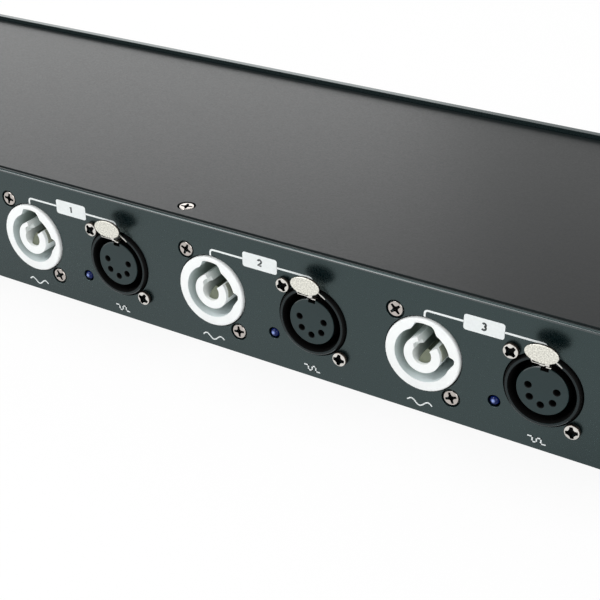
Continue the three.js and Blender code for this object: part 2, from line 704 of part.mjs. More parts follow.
function signalShell() {
  const face = DMX_PROUD;
  const floor = face - DMX_BORE_DEPTH;
  const cup = turned([
    [0, -CONNECTOR_DEPTH],
    [DMX_RING_R, -CONNECTOR_DEPTH],
    [DMX_RING_R, DMX_STEP],
    [DMX_RING_R - DMX_SLOPE, face],
    [0, face],
  ], RING_FACETS);
  return { cup, floor, face };
}

function signalSocket() {
  const { cup, floor, face } = signalShell();
  const lugBack = -(PIVOT_DEPTH + LUG_REACH);
  const lugTop = PIVOT_Y + LUG_RISE;
  const lugs = box(
    2 * LUG_HALF,
    lugTop - DMX_BORE_R + OVERRUN,
    PLATE_TOP - lugBack,
    0,
    (lugTop + DMX_BORE_R - OVERRUN) / 2,
    (PLATE_TOP + lugBack) / 2,
  );
  const slotLow = DMX_BORE_R - SHELL_GAP / 2;
  const slotTop = lugTop + OVERRUN;
  const slotBack = -(PIVOT_DEPTH + PIVOT_BARREL_R + LATCH_SIDE_CLEAR);
  const slotFront = face + OVERRUN;
  const slot = box(
    2 * SLOT_HALF,
    slotTop - slotLow,
    slotFront - slotBack,
    0,
    (slotTop + slotLow) / 2,
    (slotFront + slotBack) / 2,
  );
  const pinHole = rodAlongX(PIVOT_PIN_R + PIVOT_PIN_CLEAR, 2 * (LUG_HALF + OVERRUN),
    SMALL_FACETS, PIVOT_Y, -PIVOT_DEPTH);
  return cut(
    join(cup, fixingPlate(DMX_PLATE, DMX_PLATE), lugs),
    bore(DMX_BORE_R, floor, face),
    slot,
    pinHole,
    ...screwHoles(signalScrews),
  );
}

// Places of the pins, the first straight down and the others in pairs up each side.
const pinPlaces = Array.from({ length: PIN_COUNT }, (_, i) => {
  const turn = THREE.MathUtils.degToRad((i - (PIN_COUNT - 1) / 2) * PIN_STEP);
  return [PIN_CIRCLE_R * Math.sin(turn), -PIN_CIRCLE_R * Math.cos(turn) - PIN_DROP];
});

function contactInsert() {
  const floor = DMX_PROUD - DMX_BORE_DEPTH + SEAT;
  const body = turned([
    [0, floor],
    [INSERT_R, floor],
    [INSERT_R, INSERT_PROUD],
    [0, INSERT_PROUD],
  ], INSERT_FACETS);
  const holes = pinPlaces.map(([x, y]) => {
    return new THREE.CylinderGeometry(PIN_HOLE_R, PIN_HOLE_R, PIN_HOLE_DEPTH, SMALL_FACETS)
      .rotateX(Math.PI / 2)
      .translate(x, y, INSERT_PROUD + OVERRUN - PIN_HOLE_DEPTH / 2);
  });
  const key = box(
    INSERT_KEY_WIDTH,
    INSERT_KEY_DEPTH + OVERRUN,
    2 * DMX_BORE_DEPTH,
    0,
    INSERT_R + (OVERRUN - INSERT_KEY_DEPTH) / 2,
    0,
  );
  return cut(solidOf(body), ...holes, key);
}

function latchLever() {
  const armLow = PIVOT_Y - LATCH_SHEET / 2;
  const armTop = PIVOT_Y + LATCH_SHEET / 2;
  const padBack = PAD_STANDOFF;
  const padFront = PAD_STANDOFF + PAD_SHEET;
  const tongue = PAD_Y - PAD_HEIGHT / 2 - PAD_TONGUE;
  const arm = extrude(polygon([
    [-PIVOT_DEPTH, armLow],
    [ARM_SPRINGS_AT, armLow],
    [padFront, tongue],
    [padFront, PAD_Y],
    [padBack, PAD_Y],
    [padBack, tongue + LATCH_SHEET],
    [ARM_SPRINGS_AT, armTop],
    [-PIVOT_DEPTH, armTop],
  ]), LATCH_WIDTH, 1).applyMatrix4(ACROSS).translate(LATCH_WIDTH / 2, 0, 0);
  const oval = new THREE.Shape();
  oval.absellipse(0, PAD_Y, PAD_WIDTH / 2, PAD_HEIGHT / 2, 0, 2 * Math.PI);
  const pad = extrude(oval, PAD_SHEET, PAD_FACETS).translate(0, 0, padBack);
  const hookTip = INSERT_R + HOOK_CLEAR;
  const hookFront = -HOOK_SETBACK;
  const hookBack = hookFront - HOOK_LENGTH;
  const rake = HOOK_LENGTH * HOOK_RAKE_SHARE;
  const hook = extrude(polygon([
    [hookBack, hookTip],
    [hookFront - rake, hookTip],
    [hookFront, armLow + LATCH_SHEET / 2],
    [hookBack, armLow + LATCH_SHEET / 2],
  ]), HOOK_WIDTH, 1).applyMatrix4(ACROSS).translate(HOOK_WIDTH / 2, 0, 0);
  const barrel = rodAlongX(PIVOT_BARREL_R, LATCH_WIDTH, SMALL_FACETS, PIVOT_Y, -PIVOT_DEPTH);
  const pin = rodAlongX(PIVOT_PIN_R, 2 * (LUG_HALF - SEAT), SMALL_FACETS, PIVOT_Y, -PIVOT_DEPTH);
  return join(arm, pad, hook, barrel, pin);
}

function signalInlet() {
  const { cup, floor, face } = signalShell();
  const key = box(
    INLET_KEY_WIDTH,
    INLET_KEY_DEPTH + 2 * OVERRUN,
    DMX_BORE_DEPTH + OVERRUN,
    0,
    INLET_BORE_R + (INLET_KEY_DEPTH - 2 * OVERRUN) / 2,
    (floor + face + OVERRUN) / 2,
  );
  return cut(
    join(cup, fixingPlate(DMX_PLATE, DMX_PLATE)),
    bore(INLET_BORE_R, floor, face),
    key,
    ...screwHoles(signalScrews),
  );
}

function inletPins() {
  const floor = DMX_PROUD - DMX_BORE_DEPTH + SEAT;
  const base = turned([
    [0, floor],
    [INLET_BORE_R - SEAT, floor],
    [INLET_BORE_R - SEAT, floor + INLET_BASE],
    [0, floor + INLET_BASE],
  ], INSERT_FACETS);
  const tip = DMX_PROUD - PIN_SINK;
  const pins = pinPlaces.map(([x, y]) => turned([
    [0, floor + INLET_BASE / 2],
    [PIN_R, floor + INLET_BASE / 2],
    [PIN_R, tip - PIN_R],
    [0, tip],
  ], SMALL_FACETS).translate(x, y, 0));
  return join(base, ...pins);
}

// Domed lamp with two legs; the rim lies behind what the lamp passes through.
function lamp(rimTop, legEnd) {
  const profile = [
    [0, rimTop - LAMP_RIM_HEIGHT],
    [LAMP_R + LAMP_RIM, rimTop - LAMP_RIM_HEIGHT],
    [LAMP_R + LAMP_RIM, rimTop],
    [LAMP_R, rimTop],
  ];
  const domeBase = LAMP_PROUD - LAMP_R;
  for (let i = 0; i <= DOME_STEPS; i += 1) {
    const turn = (i / DOME_STEPS) * (Math.PI / 2);
    const radius = i === DOME_STEPS ? 0 : LAMP_R * Math.cos(turn);
    profile.push([radius, domeBase + LAMP_R * Math.sin(turn)]);
  }
  const legTop = rimTop - LAMP_RIM_HEIGHT / 2;
  const legs = [-1, 1].map((side) => box(
    LEG_SIZE,
    LEG_SIZE,
    legTop - legEnd,
    side * LEG_SPREAD,
    0,
    (legTop + legEnd) / 2,
  ));
  return join(turned(profile, LAMP_FACETS), ...legs);
}

function mainBoard() {
  const left = INLET_X - BOARD_EDGE;
  const right = lastSignal + BOARD_EDGE;
  const bottom = TRAY_SHEET + BOARD_LIFT;
  const top = FLANGE_TOP - TRAY_SHEET - BOARD_LIFT;
  const board = box(
    right - left,
    BOARD_SHEET,
    top - bottom,
    (left + right) / 2,
    BOARD_FACE + BOARD_SHEET / 2,
    (top + bottom) / 2,
  );
  const parts = outputs.flatMap(({ power, signal }) => [
    box(
      MODULE_WIDTH,
      MODULE_DEPTH + OVERRUN,
      MODULE_HEIGHT,
      power,
      BOARD_BACK + (MODULE_DEPTH - OVERRUN) / 2,
      (top + bottom) / 2,
    ),
    box(
      DRIVER_WIDTH,
      DRIVER_DEPTH + OVERRUN,
      DRIVER_HEIGHT,
      signal,
      BOARD_BACK + (DRIVER_DEPTH - OVERRUN) / 2,
      (top + bottom) / 2,
    ),
  ]);
  return join(board, ...parts);
}

const SUPPLY_BOTTOM = TRAY_SHEET + SEAT + STANDOFF_HEIGHT;
const SUPPLY_TOP = SUPPLY_BOTTOM + BOARD_SHEET;

function powerSupply() {
  const board = box(
    SUPPLY_WIDTH,
    SUPPLY_DEPTH,
    BOARD_SHEET,
    supplyX,
    supplyY,
    SUPPLY_BOTTOM + BOARD_SHEET / 2,
  );
  const transformer = box(
    TRANSFORMER_WIDTH,
    TRANSFORMER_DEPTH,
    TRANSFORMER_HEIGHT + OVERRUN,
    supplyX,
    supplyY,
    SUPPLY_TOP + (TRANSFORMER_HEIGHT - OVERRUN) / 2,
  );
  const heatsink = box(
    HEATSINK_SHEET,
    HEATSINK_DEPTH,
    HEATSINK_HEIGHT + OVERRUN,
    supplyX + (TRANSFORMER_WIDTH + SUPPLY_WIDTH) / 4,
    supplyY,
    SUPPLY_TOP + (HEATSINK_HEIGHT - OVERRUN) / 2,
  );
  const capacitorHeight = CAPACITOR_HEIGHT + OVERRUN;
  const capacitor = new THREE.CylinderGeometry(
    CAPACITOR_R, CAPACITOR_R, capacitorHeight, RING_FACETS / 2,
  ).rotateX(Math.PI / 2).translate(
    supplyX - (TRANSFORMER_WIDTH + SUPPLY_WIDTH) / 4,
    supplyY,
    SUPPLY_TOP - OVERRUN + capacitorHeight / 2,
  );
  const standoffHeight = STANDOFF_HEIGHT + OVERRUN;
  const posts = standoffs.map(({ x, y }) => (
    new THREE.CylinderGeometry(STANDOFF_R, STANDOFF_R, standoffHeight, STANDOFF_SIDES)
      .rotateX(Math.PI / 2)
      .translate(x, y, SUPPLY_BOTTOM - STANDOFF_HEIGHT + standoffHeight / 2)
  ));
  return join(board, transformer, heatsink, capacitor, ...posts);
}

const switchOpening = {
  width: 2 * (OPENING_HALF_WIDTH - SWITCH_BODY_WALL),
  height: 2 * (OPENING_HALF_HEIGHT - SWITCH_BODY_WALL),
};

function switchHousing() {
  const bezel = extrude(
    roundedRectangle(BEZEL_WIDTH, BEZEL_HEIGHT, BEZEL_CORNER),
    BEZEL_PROUD,
    CORNER_FACETS,
  ).translate(0, 0, SEAT);
  const bodyTop = SEAT + BEZEL_PROUD / 2;
  const body = box(
    2 * OPENING_HALF_WIDTH,
    2 * OPENING_HALF_HEIGHT,
    SWITCH_DEPTH + bodyTop,
    0,
    0,
    (bodyTop - SWITCH_DEPTH) / 2,
  );
  const terminals = [-1, 1].map((up) => box(
    TERMINAL_WIDTH,
    TERMINAL_SHEET,
    TERMINAL_LENGTH + OVERRUN,
    0,
    up * TERMINAL_PITCH / 2,
    -SWITCH_DEPTH - (TERMINAL_LENGTH - OVERRUN) / 2,
  ));
  const cavityTop = SEAT + BEZEL_PROUD + OVERRUN;
  const cavity = box(
    switchOpening.width,
    switchOpening.height,
    ROCKER_CAVITY + cavityTop,
    0,
    0,
    (cavityTop - ROCKER_CAVITY) / 2,
  );
  const pinHole = rodAlongX(ROCKER_PIN_R + ROCKER_GAP, 2 * (OPENING_HALF_WIDTH + OVERRUN),
    SMALL_FACETS, 0, -ROCKER_SINK);
  return cut(join(bezel, body, ...terminals), cavity, pinHole);
}

// Two flats that meet in a shallow valley; drawn about the pivot.
function switchRocker() {
  const half = switchOpening.height / 2 - ROCKER_END_CLEAR;
  const slope = Math.tan(THREE.MathUtils.degToRad(ROCKER_TILT));
  const end = ROCKER_CROWN + half * slope;
  const width = switchOpening.width - 2 * ROCKER_GAP;
  const rootHalf = half - ROCKER_ROOT / 2;
  const body = extrude(polygon([
    [-ROCKER_ROOT, -rootHalf],
    [0, -half],
    [end, -half],
    [ROCKER_CROWN, 0],
    [end, half],
    [0, half],
    [-ROCKER_ROOT, rootHalf],
  ]), width, 1).applyMatrix4(ACROSS).translate(width / 2, 0, 0);
  const pin = rodAlongX(ROCKER_PIN_R, 2 * (OPENING_HALF_WIDTH - SEAT), SMALL_FACETS, 0, 0);
  return join(body, pin);
}

// Insulated lead along a smooth route.
function lead(points) {
  const route = new THREE.CatmullRomCurve3(points.map(([x, y, z]) => new THREE.Vector3(x, y, z)));
  const section = new THREE.Shape();
  for (let i = 0; i < LEAD_SIDES; i += 1) {
    const turn = (i / LEAD_SIDES) * 2 * Math.PI;
    const x = LEAD_R * Math.cos(turn);
    const y = LEAD_R * Math.sin(turn);
    if (i === 0) section.moveTo(x, y);
    else section.lineTo(x, y);
  }
  section.closePath();
  return solidOf(new THREE.ExtrudeGeometry(section, {
    steps: LEAD_STEPS,
    extrudePath: route,
    bevelEnabled: false,
  }));
}

// Assembly.
const model = new THREE.Group();
const caseGroup = new THREE.Group();
model.add(caseGroup);

piece(caseGroup, 'chassis_tray', chassisTray(), 'coat');
piece(caseGroup, 'top_cover', topCover(), 'coverCoat');
piece(caseGroup, 'front_panel', frontPanel(), 'coat');

coverScrews.forEach(([name, x]) => {
  const spot = new THREE.Group();
  spot.position.set(x, COVER_SCREW_Y, BODY_HEIGHT);
  piece(spot, `cover_screw_${name}`, sunkScrew(), 'nickel');
  caseGroup.add(spot);
});

// A group on the connector face, its z pointing out of the panel.
function faceGroup(x, z = CONNECTOR_Z) {
  const group = new THREE.Group();
  group.position.set(x, 0, z);
  group.rotation.x = Math.PI / 2;
  caseGroup.add(group);
  return group;
}

// A group on the rack panel, its z pointing out of that panel.
function panelGroup(x, z) {
  const group = new THREE.Group();
  group.position.set(x, PANEL_FACE, z);
  group.rotation.set(Math.PI / 2, Math.PI, 0);
  caseGroup.add(group);
  return group;
}

function screwPair(group, name, places, solid) {
  places.forEach(([x, y], i) => {
    const spot = new THREE.Group();
    spot.position.set(x, y, 0);
    piece(spot, `${name}_screw_${i + 1}`, solid(), 'nickel');
    group.add(spot);
  });
}

panelScrews.forEach(({ name, x, z }) => {
  piece(panelGroup(x, z), `panel_screw_${name}`, sunkScrew(), 'nickel');
});

const inlet = faceGroup(INLET_X);
piece(inlet, 'power_in', powerConnector(), 'bluePlastic');
screwPair(inlet, 'power_in', powerScrews, sunkScrew);

const signalIn = faceGroup(INLET_X + GROUP_SPREAD);
piece(signalIn, 'dmx_in', signalInlet(), 'blackShell');
piece(signalIn, 'dmx_in_pins', inletPins(), 'insert');
screwPair(signalIn, 'dmx_in', signalScrews, panScrew);

const rearLampRim = PLATE_TOP - PLATE_SHEET - SEAT;
outputs.forEach(({ number, power, signal }) => {
  const outlet = faceGroup(power);
  piece(outlet, `power_out_${number}`, powerConnector(), 'whitePlastic');
  screwPair(outlet, `power_out_${number}`, powerScrews, sunkScrew);
  const socket = faceGroup(signal);
  piece(socket, `dmx_out_${number}`, signalSocket(), 'blackShell');
  piece(socket, `dmx_out_${number}_insert`, contactInsert(), 'insert');
  piece(socket, `dmx_out_${number}_latch`, latchLever(), 'nickel');
  screwPair(socket, `dmx_out_${number}`, signalScrews, panScrew);
  const lampSpot = faceGroup(signal + LAMP_X, CONNECTOR_Z - LAMP_DROP);
  piece(lampSpot, `lamp_${number}`, lamp(rearLampRim, -CONNECTOR_DEPTH), 'lamp');
});

piece(caseGroup, 'main_board', mainBoard(), 'board');
piece(caseGroup, 'power_supply', powerSupply(), 'board');

const switchSpot = panelGroup(SWITCH_X, PANEL_MIDDLE);
piece(switchSpot, 'switch_housing', switchHousing(), 'blackPlastic');
const rockerSpot = new THREE.Group();
rockerSpot.position.set(0, 0, -ROCKER_SINK);
rockerSpot.rotation.x = THREE.MathUtils.degToRad(ROCKER_TILT);
piece(rockerSpot, 'switch_rocker', switchRocker(), 'blackPlastic');
switchSpot.add(rockerSpot);

const stack = PANEL_SHEET + SEAT + TRAY_SHEET + SEAT;
const powerLamp = panelGroup(LAMP_SWITCH_X, PANEL_MIDDLE);
piece(powerLamp, 'power_lamp', lamp(-stack, -stack - TERMINAL_LENGTH), 'lamp');

const switchBack = PANEL_FACE - SWITCH_DEPTH - TERMINAL_LENGTH - LEAD_END_GAP;
const boardBack = BOARD_BACK + LEAD_END_GAP;
piece(caseGroup, 'mains_lead', lead([
  [SWITCH_X, boardBack, CONNECTOR_Z],
  [SWITCH_X, boardBack + LEAD_STRAIGHT, CONNECTOR_Z],
  [SWITCH_X, (boardBack + switchBack) / 2, CONNECTOR_Z - LEAD_SAG],
  [SWITCH_X, switchBack - LEAD_STRAIGHT, PANEL_MIDDLE],
  [SWITCH_X, switchBack, PANEL_MIDDLE],
]), 'lead');

const supplyEnd = supplyY - TRANSFORMER_DEPTH / 2 - LEAD_END_GAP;
const supplyLeadZ = SUPPLY_TOP + LEAD_R + LEAD_END_GAP;
piece(caseGroup, 'supply_lead', lead([
  [supplyX, boardBack, CONNECTOR_Z],
  [supplyX, boardBack + LEAD_STRAIGHT, CONNECTOR_Z],
  [supplyX, supplyEnd - LEAD_STRAIGHT, supplyLeadZ],
  [supplyX, supplyEnd, supplyLeadZ],
]), 'lead');

// The part's origin is the middle of its box, on the surface that it stands on.
const bounds = new THREE.Box3().setFromObject(caseGroup);
caseGroup.position.y = -(bounds.min.y + bounds.max.y) / 2;

export default model;
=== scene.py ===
"""The splitter box dressed for a studio picture: finer sheet metal, connectors, screws and
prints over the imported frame.

Lengths are written in millimetres and turned into metres where meshes are made.
"""

import json
import math

import bmesh
import bpy
from mathutils import Matrix, Vector

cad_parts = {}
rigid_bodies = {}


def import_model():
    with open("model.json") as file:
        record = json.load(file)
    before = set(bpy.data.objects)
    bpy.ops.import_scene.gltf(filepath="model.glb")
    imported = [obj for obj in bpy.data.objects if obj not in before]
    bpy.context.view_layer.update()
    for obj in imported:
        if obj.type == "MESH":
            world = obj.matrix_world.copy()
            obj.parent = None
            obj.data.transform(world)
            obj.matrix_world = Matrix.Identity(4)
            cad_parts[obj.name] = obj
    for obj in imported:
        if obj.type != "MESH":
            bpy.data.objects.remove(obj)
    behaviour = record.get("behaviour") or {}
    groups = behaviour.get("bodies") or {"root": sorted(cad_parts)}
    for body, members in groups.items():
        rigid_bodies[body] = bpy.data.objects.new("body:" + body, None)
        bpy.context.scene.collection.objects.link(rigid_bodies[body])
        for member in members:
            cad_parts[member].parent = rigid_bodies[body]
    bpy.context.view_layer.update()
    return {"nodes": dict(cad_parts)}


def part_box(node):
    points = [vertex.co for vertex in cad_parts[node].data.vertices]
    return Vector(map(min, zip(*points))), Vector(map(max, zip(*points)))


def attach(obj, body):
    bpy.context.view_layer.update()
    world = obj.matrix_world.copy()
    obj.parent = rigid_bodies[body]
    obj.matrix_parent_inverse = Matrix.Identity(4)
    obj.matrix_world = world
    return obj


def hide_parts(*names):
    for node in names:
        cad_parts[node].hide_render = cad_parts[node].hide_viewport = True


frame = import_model()
nodes = frame["nodes"]

MM = 0.001

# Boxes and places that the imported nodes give, in millimetres.
tray_low, tray_high = (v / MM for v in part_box("chassis_tray"))
cover_low, cover_high = (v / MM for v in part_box("top_cover"))
panel_low, panel_high = (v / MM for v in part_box("front_panel"))


def middle(node):
    low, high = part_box(node)
    return (low + high) / 2 / MM


FACE_Y = tray_low.y
PANEL_Y = panel_high.y
CENTRE_Z = middle("dmx_in").z
INLET_X = middle("power_in").x
SIGNAL_IN_X = middle("dmx_in").x
OUTPUTS = [1, 2, 3, 4]
power_x = {i: middle(f"power_out_{i}").x for i in OUTPUTS}
signal_x = {i: middle(f"dmx_out_{i}").x for i in OUTPUTS}
power_spots = [INLET_X, *power_x.values()]
signal_spots = [SIGNAL_IN_X, *signal_x.values()]
LAMP_DX = middle("lamp_1").x - signal_x[1]
LAMP_DY = middle("lamp_1").z - CENTRE_Z
cover_screws = {s: middle(f"cover_screw_{s}") for s in ("left", "middle", "right")}
panel_screws = {
    s: middle(f"panel_screw_{s}")
    for s in ("upper_left", "upper_right", "lower_left", "lower_right")
}
switch_at = middle("switch_housing")
lamp_at = middle("power_lamp")

# Sheet metal.
CORNER = 1.5
TRAY_SHEET = 1.5
COVER_SHEET = 1.2
FLANGE = 14.5
TRAY_FOLD = 2.0
COVER_FOLD = 1.4
SEAT = 0.2
WALL_ROUND = 1.1
WALL_REAR_ROUND = 0.3
TAB_INSET = 6
TAB_FOOT = 0.3
TAB_HEIGHT = 14
VENTS = 4
VENT = (3, 17)
VENT_STEP = 8
RACK_SLOT = (10.3, 6.8)
RACK_SLOT_ROUND = 3.399
RACK_SLOT_X = 232.55
RACK_SLOT_STEP = 31.75
HOLE_EDGE = 0.12

# Connectors: heights are counted outwards from the connector face.
DEPTH = 18.5
PLATE_BACK = -3.7
PLATE_FRONT = -1.7
POWER_PLATE = (26, 31)
POWER_RING = 11.82
POWER_HOLE = 12.22
POWER_BORE = 8.7
POWER_PROUD = 0.9
POWER_FLOOR = -14.6
CORE = 5.75
CORE_BORE = 2.98
DMX_PLATE = (23.6, 23.6)
DMX_RING = 11.3
DMX_HOLE = DMX_RING + 0.35
DMX_BORE, DMX_BORE_FLARE = 9.6, 0.45
DMX_IN_BORE, DMX_IN_BORE_FLARE = 8.4, 0.25
DMX_PROUD = 1.0
DMX_FLOOR = -13.0
INSERT = 7.6
INSERT_FACE = 0.7
PIN_CIRCLE = 4.28
PIN_STEP = 52
PIN_DROP = 0.2
PIN_HOLE = 0.95
PIN_HOLE_MOUTH = 1.13
PIN_RADIUS = 0.8

# Screws, from the connector's middle, and their holes.
power_screws = [(-9.5, 11.99), (9.5, -11.99)]
signal_screws = [(-9.9, 9.9), (9.9, -9.9)]
SHANK = 1.25
SHANK_END = -6.5
SCREW_HOLE = 1.6
SUNK_TOP = -0.12
PAN_BASE = 0.2
PAN_TOP = 1.75
SCREW_TURNS = [0, 35, 62, 12, 48, 80, 25, 5, 57, 40]

# Latch: its pin's place, the arm's half width and its thickness, and the pad.
PIVOT_OUT = -5.0
PIVOT_UP = 9.95
ARM_HALF = 2.5
ARM_THICK = 0.9
PAD_Y = 14.05
PAD_HALF = (4.9, 2.8)
PAD_DEPTH = (3.9, 5.0)

# Lamps.
LAMP_HOLE = 1.92
LAMP_RADIUS = 1.5
LAMP_FLANGE = 1.9
LAMP_BASE = -4.8
LEG_SPREAD = 1.27
LEG_HALF = 0.3
REAR_LEGS = -18.5
FRONT_LEGS = -11.4

# Switch.
SWITCH_HOLE = (12.4, 18.6)
BEZEL = (15, 21)
BEZEL_HOLE = (8.3, 16.0)
SWITCH_BODY = (10.3, 18)
ROCKER_TILT = 10
ROCKER_PIVOT = -1.5
ROCKER_HALF = (3.9, 7.0)
ROCKER_CROWN = 3.2

# Prints.
INK = 0.05
TAG = (17.75, 14.48)
TAG_SIZE = (12.2, 4.95)
LINE_Y = 14.45
LINE_WIDTH = 0.62
DIGIT_WIDTH = 0.6
MARK_Y = -16.85
MARK_WIDTH = 0.42
# Left end, right end and height of the marks under the connectors.
POWER_MARK = (-4.2, 3.9, 1.7)
SIGNAL_MARK = (-2.7, 2.5, 1.6)


def turned(degrees, axis):
    return Matrix.Rotation(math.radians(degrees), 4, axis)


# For meshes drawn with x right, y up and z out: onto the connector face and the rack panel.
OUT_FRONT = turned(90, "X")
OUT_BACK = turned(180, "Z") @ OUT_FRONT
# Outline in (y, z) extruded along x, outline in (x, z) along y, and side view (out, up) along x.
ALONG_X = Matrix(((0, 0, 1, 0), (1, 0, 0, 0), (0, 1, 0, 0), (0, 0, 0, 1)))
ALONG_Y = Matrix(((1, 0, 0, 0), (0, 0, -1, 0), (0, 1, 0, 0), (0, 0, 0, 1)))
FROM_SIDE = Matrix(((0, 0, -1, 0), (0, 1, 0, 0), (1, 0, 0, 0), (0, 0, 0, 1)))

# ---- mesh helpers


def link(ob):
    bpy.context.scene.collection.objects.link(ob)
    return ob


def discard(obs):
    for ob in obs:
        bpy.data.objects.remove(ob)


def from_bmesh(name, bm, smooth=35):
    bmesh.ops.recalc_face_normals(bm, faces=bm.faces)
    bmesh.ops.scale(bm, vec=(MM, MM, MM), verts=bm.verts)
    me = bpy.data.meshes.new(name)
    bm.to_mesh(me)
    bm.free()
    shade(me, smooth)
    return link(bpy.data.objects.new(name, me))


def shade(me, smooth):
    me.shade_smooth()
    me.set_sharp_from_angle(angle=math.radians(smooth))


def arc(cx, cy, r, a0, a1, n):
    """Points on an arc in degrees, ends included."""
    return [
        (cx + r * math.cos(math.radians(a0 + (a1 - a0) * i / n)),
         cy + r * math.sin(math.radians(a0 + (a1 - a0) * i / n)))
        for i in range(n + 1)
    ]


def lathe(name, profile, segments=96, smooth=35):
    """Turns a profile of (radius, height) about z.

    A profile that starts and ends off the axis closes on itself, and points on the axis are poles.
    """
    bm = bmesh.new()
    rings = []
    for r, z in profile:
        if r < 1e-6:
            rings.append([bm.verts.new((0, 0, z))])
        else:
            rings.append([
                bm.verts.new((r * math.sin(2 * math.pi * k / segments),
                              r * math.cos(2 * math.pi * k / segments), z))
                for k in range(segments)
            ])
    pairs = list(zip(rings, rings[1:]))
    if len(rings[0]) > 1 and len(rings[-1]) > 1:
        pairs.append((rings[-1], rings[0]))
    for a, b in pairs:
        for k in range(segments):
            n = (k + 1) % segments
            if len(a) == 1 and len(b) == 1:
                continue
            if len(a) == 1:
                bm.faces.new((a[0], b[k], b[n]))
            elif len(b) == 1:
                bm.faces.new((a[k], b[0], a[n]))
            else:
                bm.faces.new((a[k], b[k], b[n], a[n]))
    return from_bmesh(name, bm, smooth)


def prism(name, outline, z0, z1, holes=(), smooth=35):
    """An outline in x and y, with holes, made solid between z0 and z1."""
    bm = bmesh.new()
    edges = []
    for loop in [outline, *holes]:
        vs = [bm.verts.new((x, y, z0)) for x, y in loop]
        edges += [bm.edges.new((vs[i], vs[(i + 1) % len(vs)])) for i in range(len(vs))]
    if holes:
        bmesh.ops.triangle_fill(bm, use_beauty=True, use_dissolve=False, edges=edges)
    else:
        bm.faces.new([e.verts[0] for e in edges])
    top = bmesh.ops.extrude_face_region(bm, geom=bm.faces[:])
    moved = [g for g in top["geom"] if isinstance(g, bmesh.types.BMVert)]
    bmesh.ops.translate(bm, verts=moved, vec=(0, 0, z1 - z0))
    return from_bmesh(name, bm, smooth)


def block(name, low, high):
    (x0, y0, z0), (x1, y1, z1) = low, high
    return prism(name, [(x0, y0), (x1, y0), (x1, y1), (x0, y1)], z0, z1)


def cylinder(name, radius, z0, z1, segments=64):
    return lathe(name, [(0, z0), (radius, z0), (radius, z1), (0, z1)], segments)


def rounded(w, h, r, cx=0.0, cy=0.0, n=6):
    """Outline of a rectangle with round corners."""
    points = []
    for sx, sy, a in ((1, 1, 0), (-1, 1, 90), (-1, -1, 180), (1, -1, 270)):
        points += arc(cx + sx * (w / 2 - r), cy + sy * (h / 2 - r), r, a, a + 90, n)
    return points


def place(ob, matrix):
    """Moves a mesh by a matrix whose lengths are in millimetres."""
    m = matrix.copy()
    m.translation = m.translation * MM
    ob.data.transform(m)
    return ob


def joined(name, obs, smooth=35):
    bm = bmesh.new()
    for ob in obs:
        bm.from_mesh(ob.data)
    me = bpy.data.meshes.new(name)
    bm.to_mesh(me)
    bm.free()
    discard(obs)
    shade(me, smooth)
    return link(bpy.data.objects.new(name, me))


def settle(ob, smooth=35):
    """Applies the modifiers of a piece."""
    graph = bpy.context.evaluated_depsgraph_get()
    me = bpy.data.meshes.new_from_object(ob.evaluated_get(graph))
    ob.modifiers.clear()
    ob.data = me
    shade(me, smooth)
    return ob


def boolean(ob, cutters, operation="DIFFERENCE", smooth=35):
    for cutter in cutters:
        mod = ob.modifiers.new("cut", "BOOLEAN")
        mod.operation = operation
        mod.solver = "EXACT"
        mod.object = cutter
    settle(ob, smooth)
    discard(cutters)
    return ob


def bevelled(ob, width, segments=2, angle=40, smooth=35):
    mod = ob.modifiers.new("edge", "BEVEL")
    mod.width = width * MM
    mod.segments = segments
    mod.limit_method = "ANGLE"
    mod.angle_limit = math.radians(angle)
    mod.harden_normals = False
    return settle(ob, smooth)


def at_matrix(x, y, z, turn=None):
    m = Matrix.Translation((x, y, z))
    return m @ turn if turn is not None else m


def on_face(x, z=None):
    spot = Vector((x, FACE_Y, CENTRE_Z if z is None else z)) * MM
    return Matrix.Translation(spot) @ OUT_FRONT


def on_panel(x, z):
    spot = Vector((x, PANEL_Y, z)) * MM
    return Matrix.Translation(spot) @ OUT_BACK


def off_axis(p):
    return math.hypot(p.x, p.y)


def tint(ob, index, test):
    """Gives the faces whose middle (mm) and normal pass the test another of the materials."""
    for face in ob.data.polygons:
        if test(face.center / MM, face.normal):
            face.material_index = index
    return ob


def set_piece(ob, where, body, material=None, replaces=(), others=()):
    ob.matrix_world = where
    if material is not None and not ob.data.materials:
        for m in (material, *others):
            ob.data.materials.append(m)
    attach(ob, body)
    if replaces:
        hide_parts(*replaces)
    return ob


def dress(source, name, where, body, material, replaces=(), others=()):
    """Sets a piece with a copy of the source's mesh."""
    ob = link(bpy.data.objects.new(name, source.data.copy()))
    return set_piece(ob, where, body, material, replaces, others)


def connector(family, k):
    """Name of a connector: the inlet is the first of its family."""
    return f"{family}_in" if k == 0 else f"{family}_out_{k}"


# ---- materials


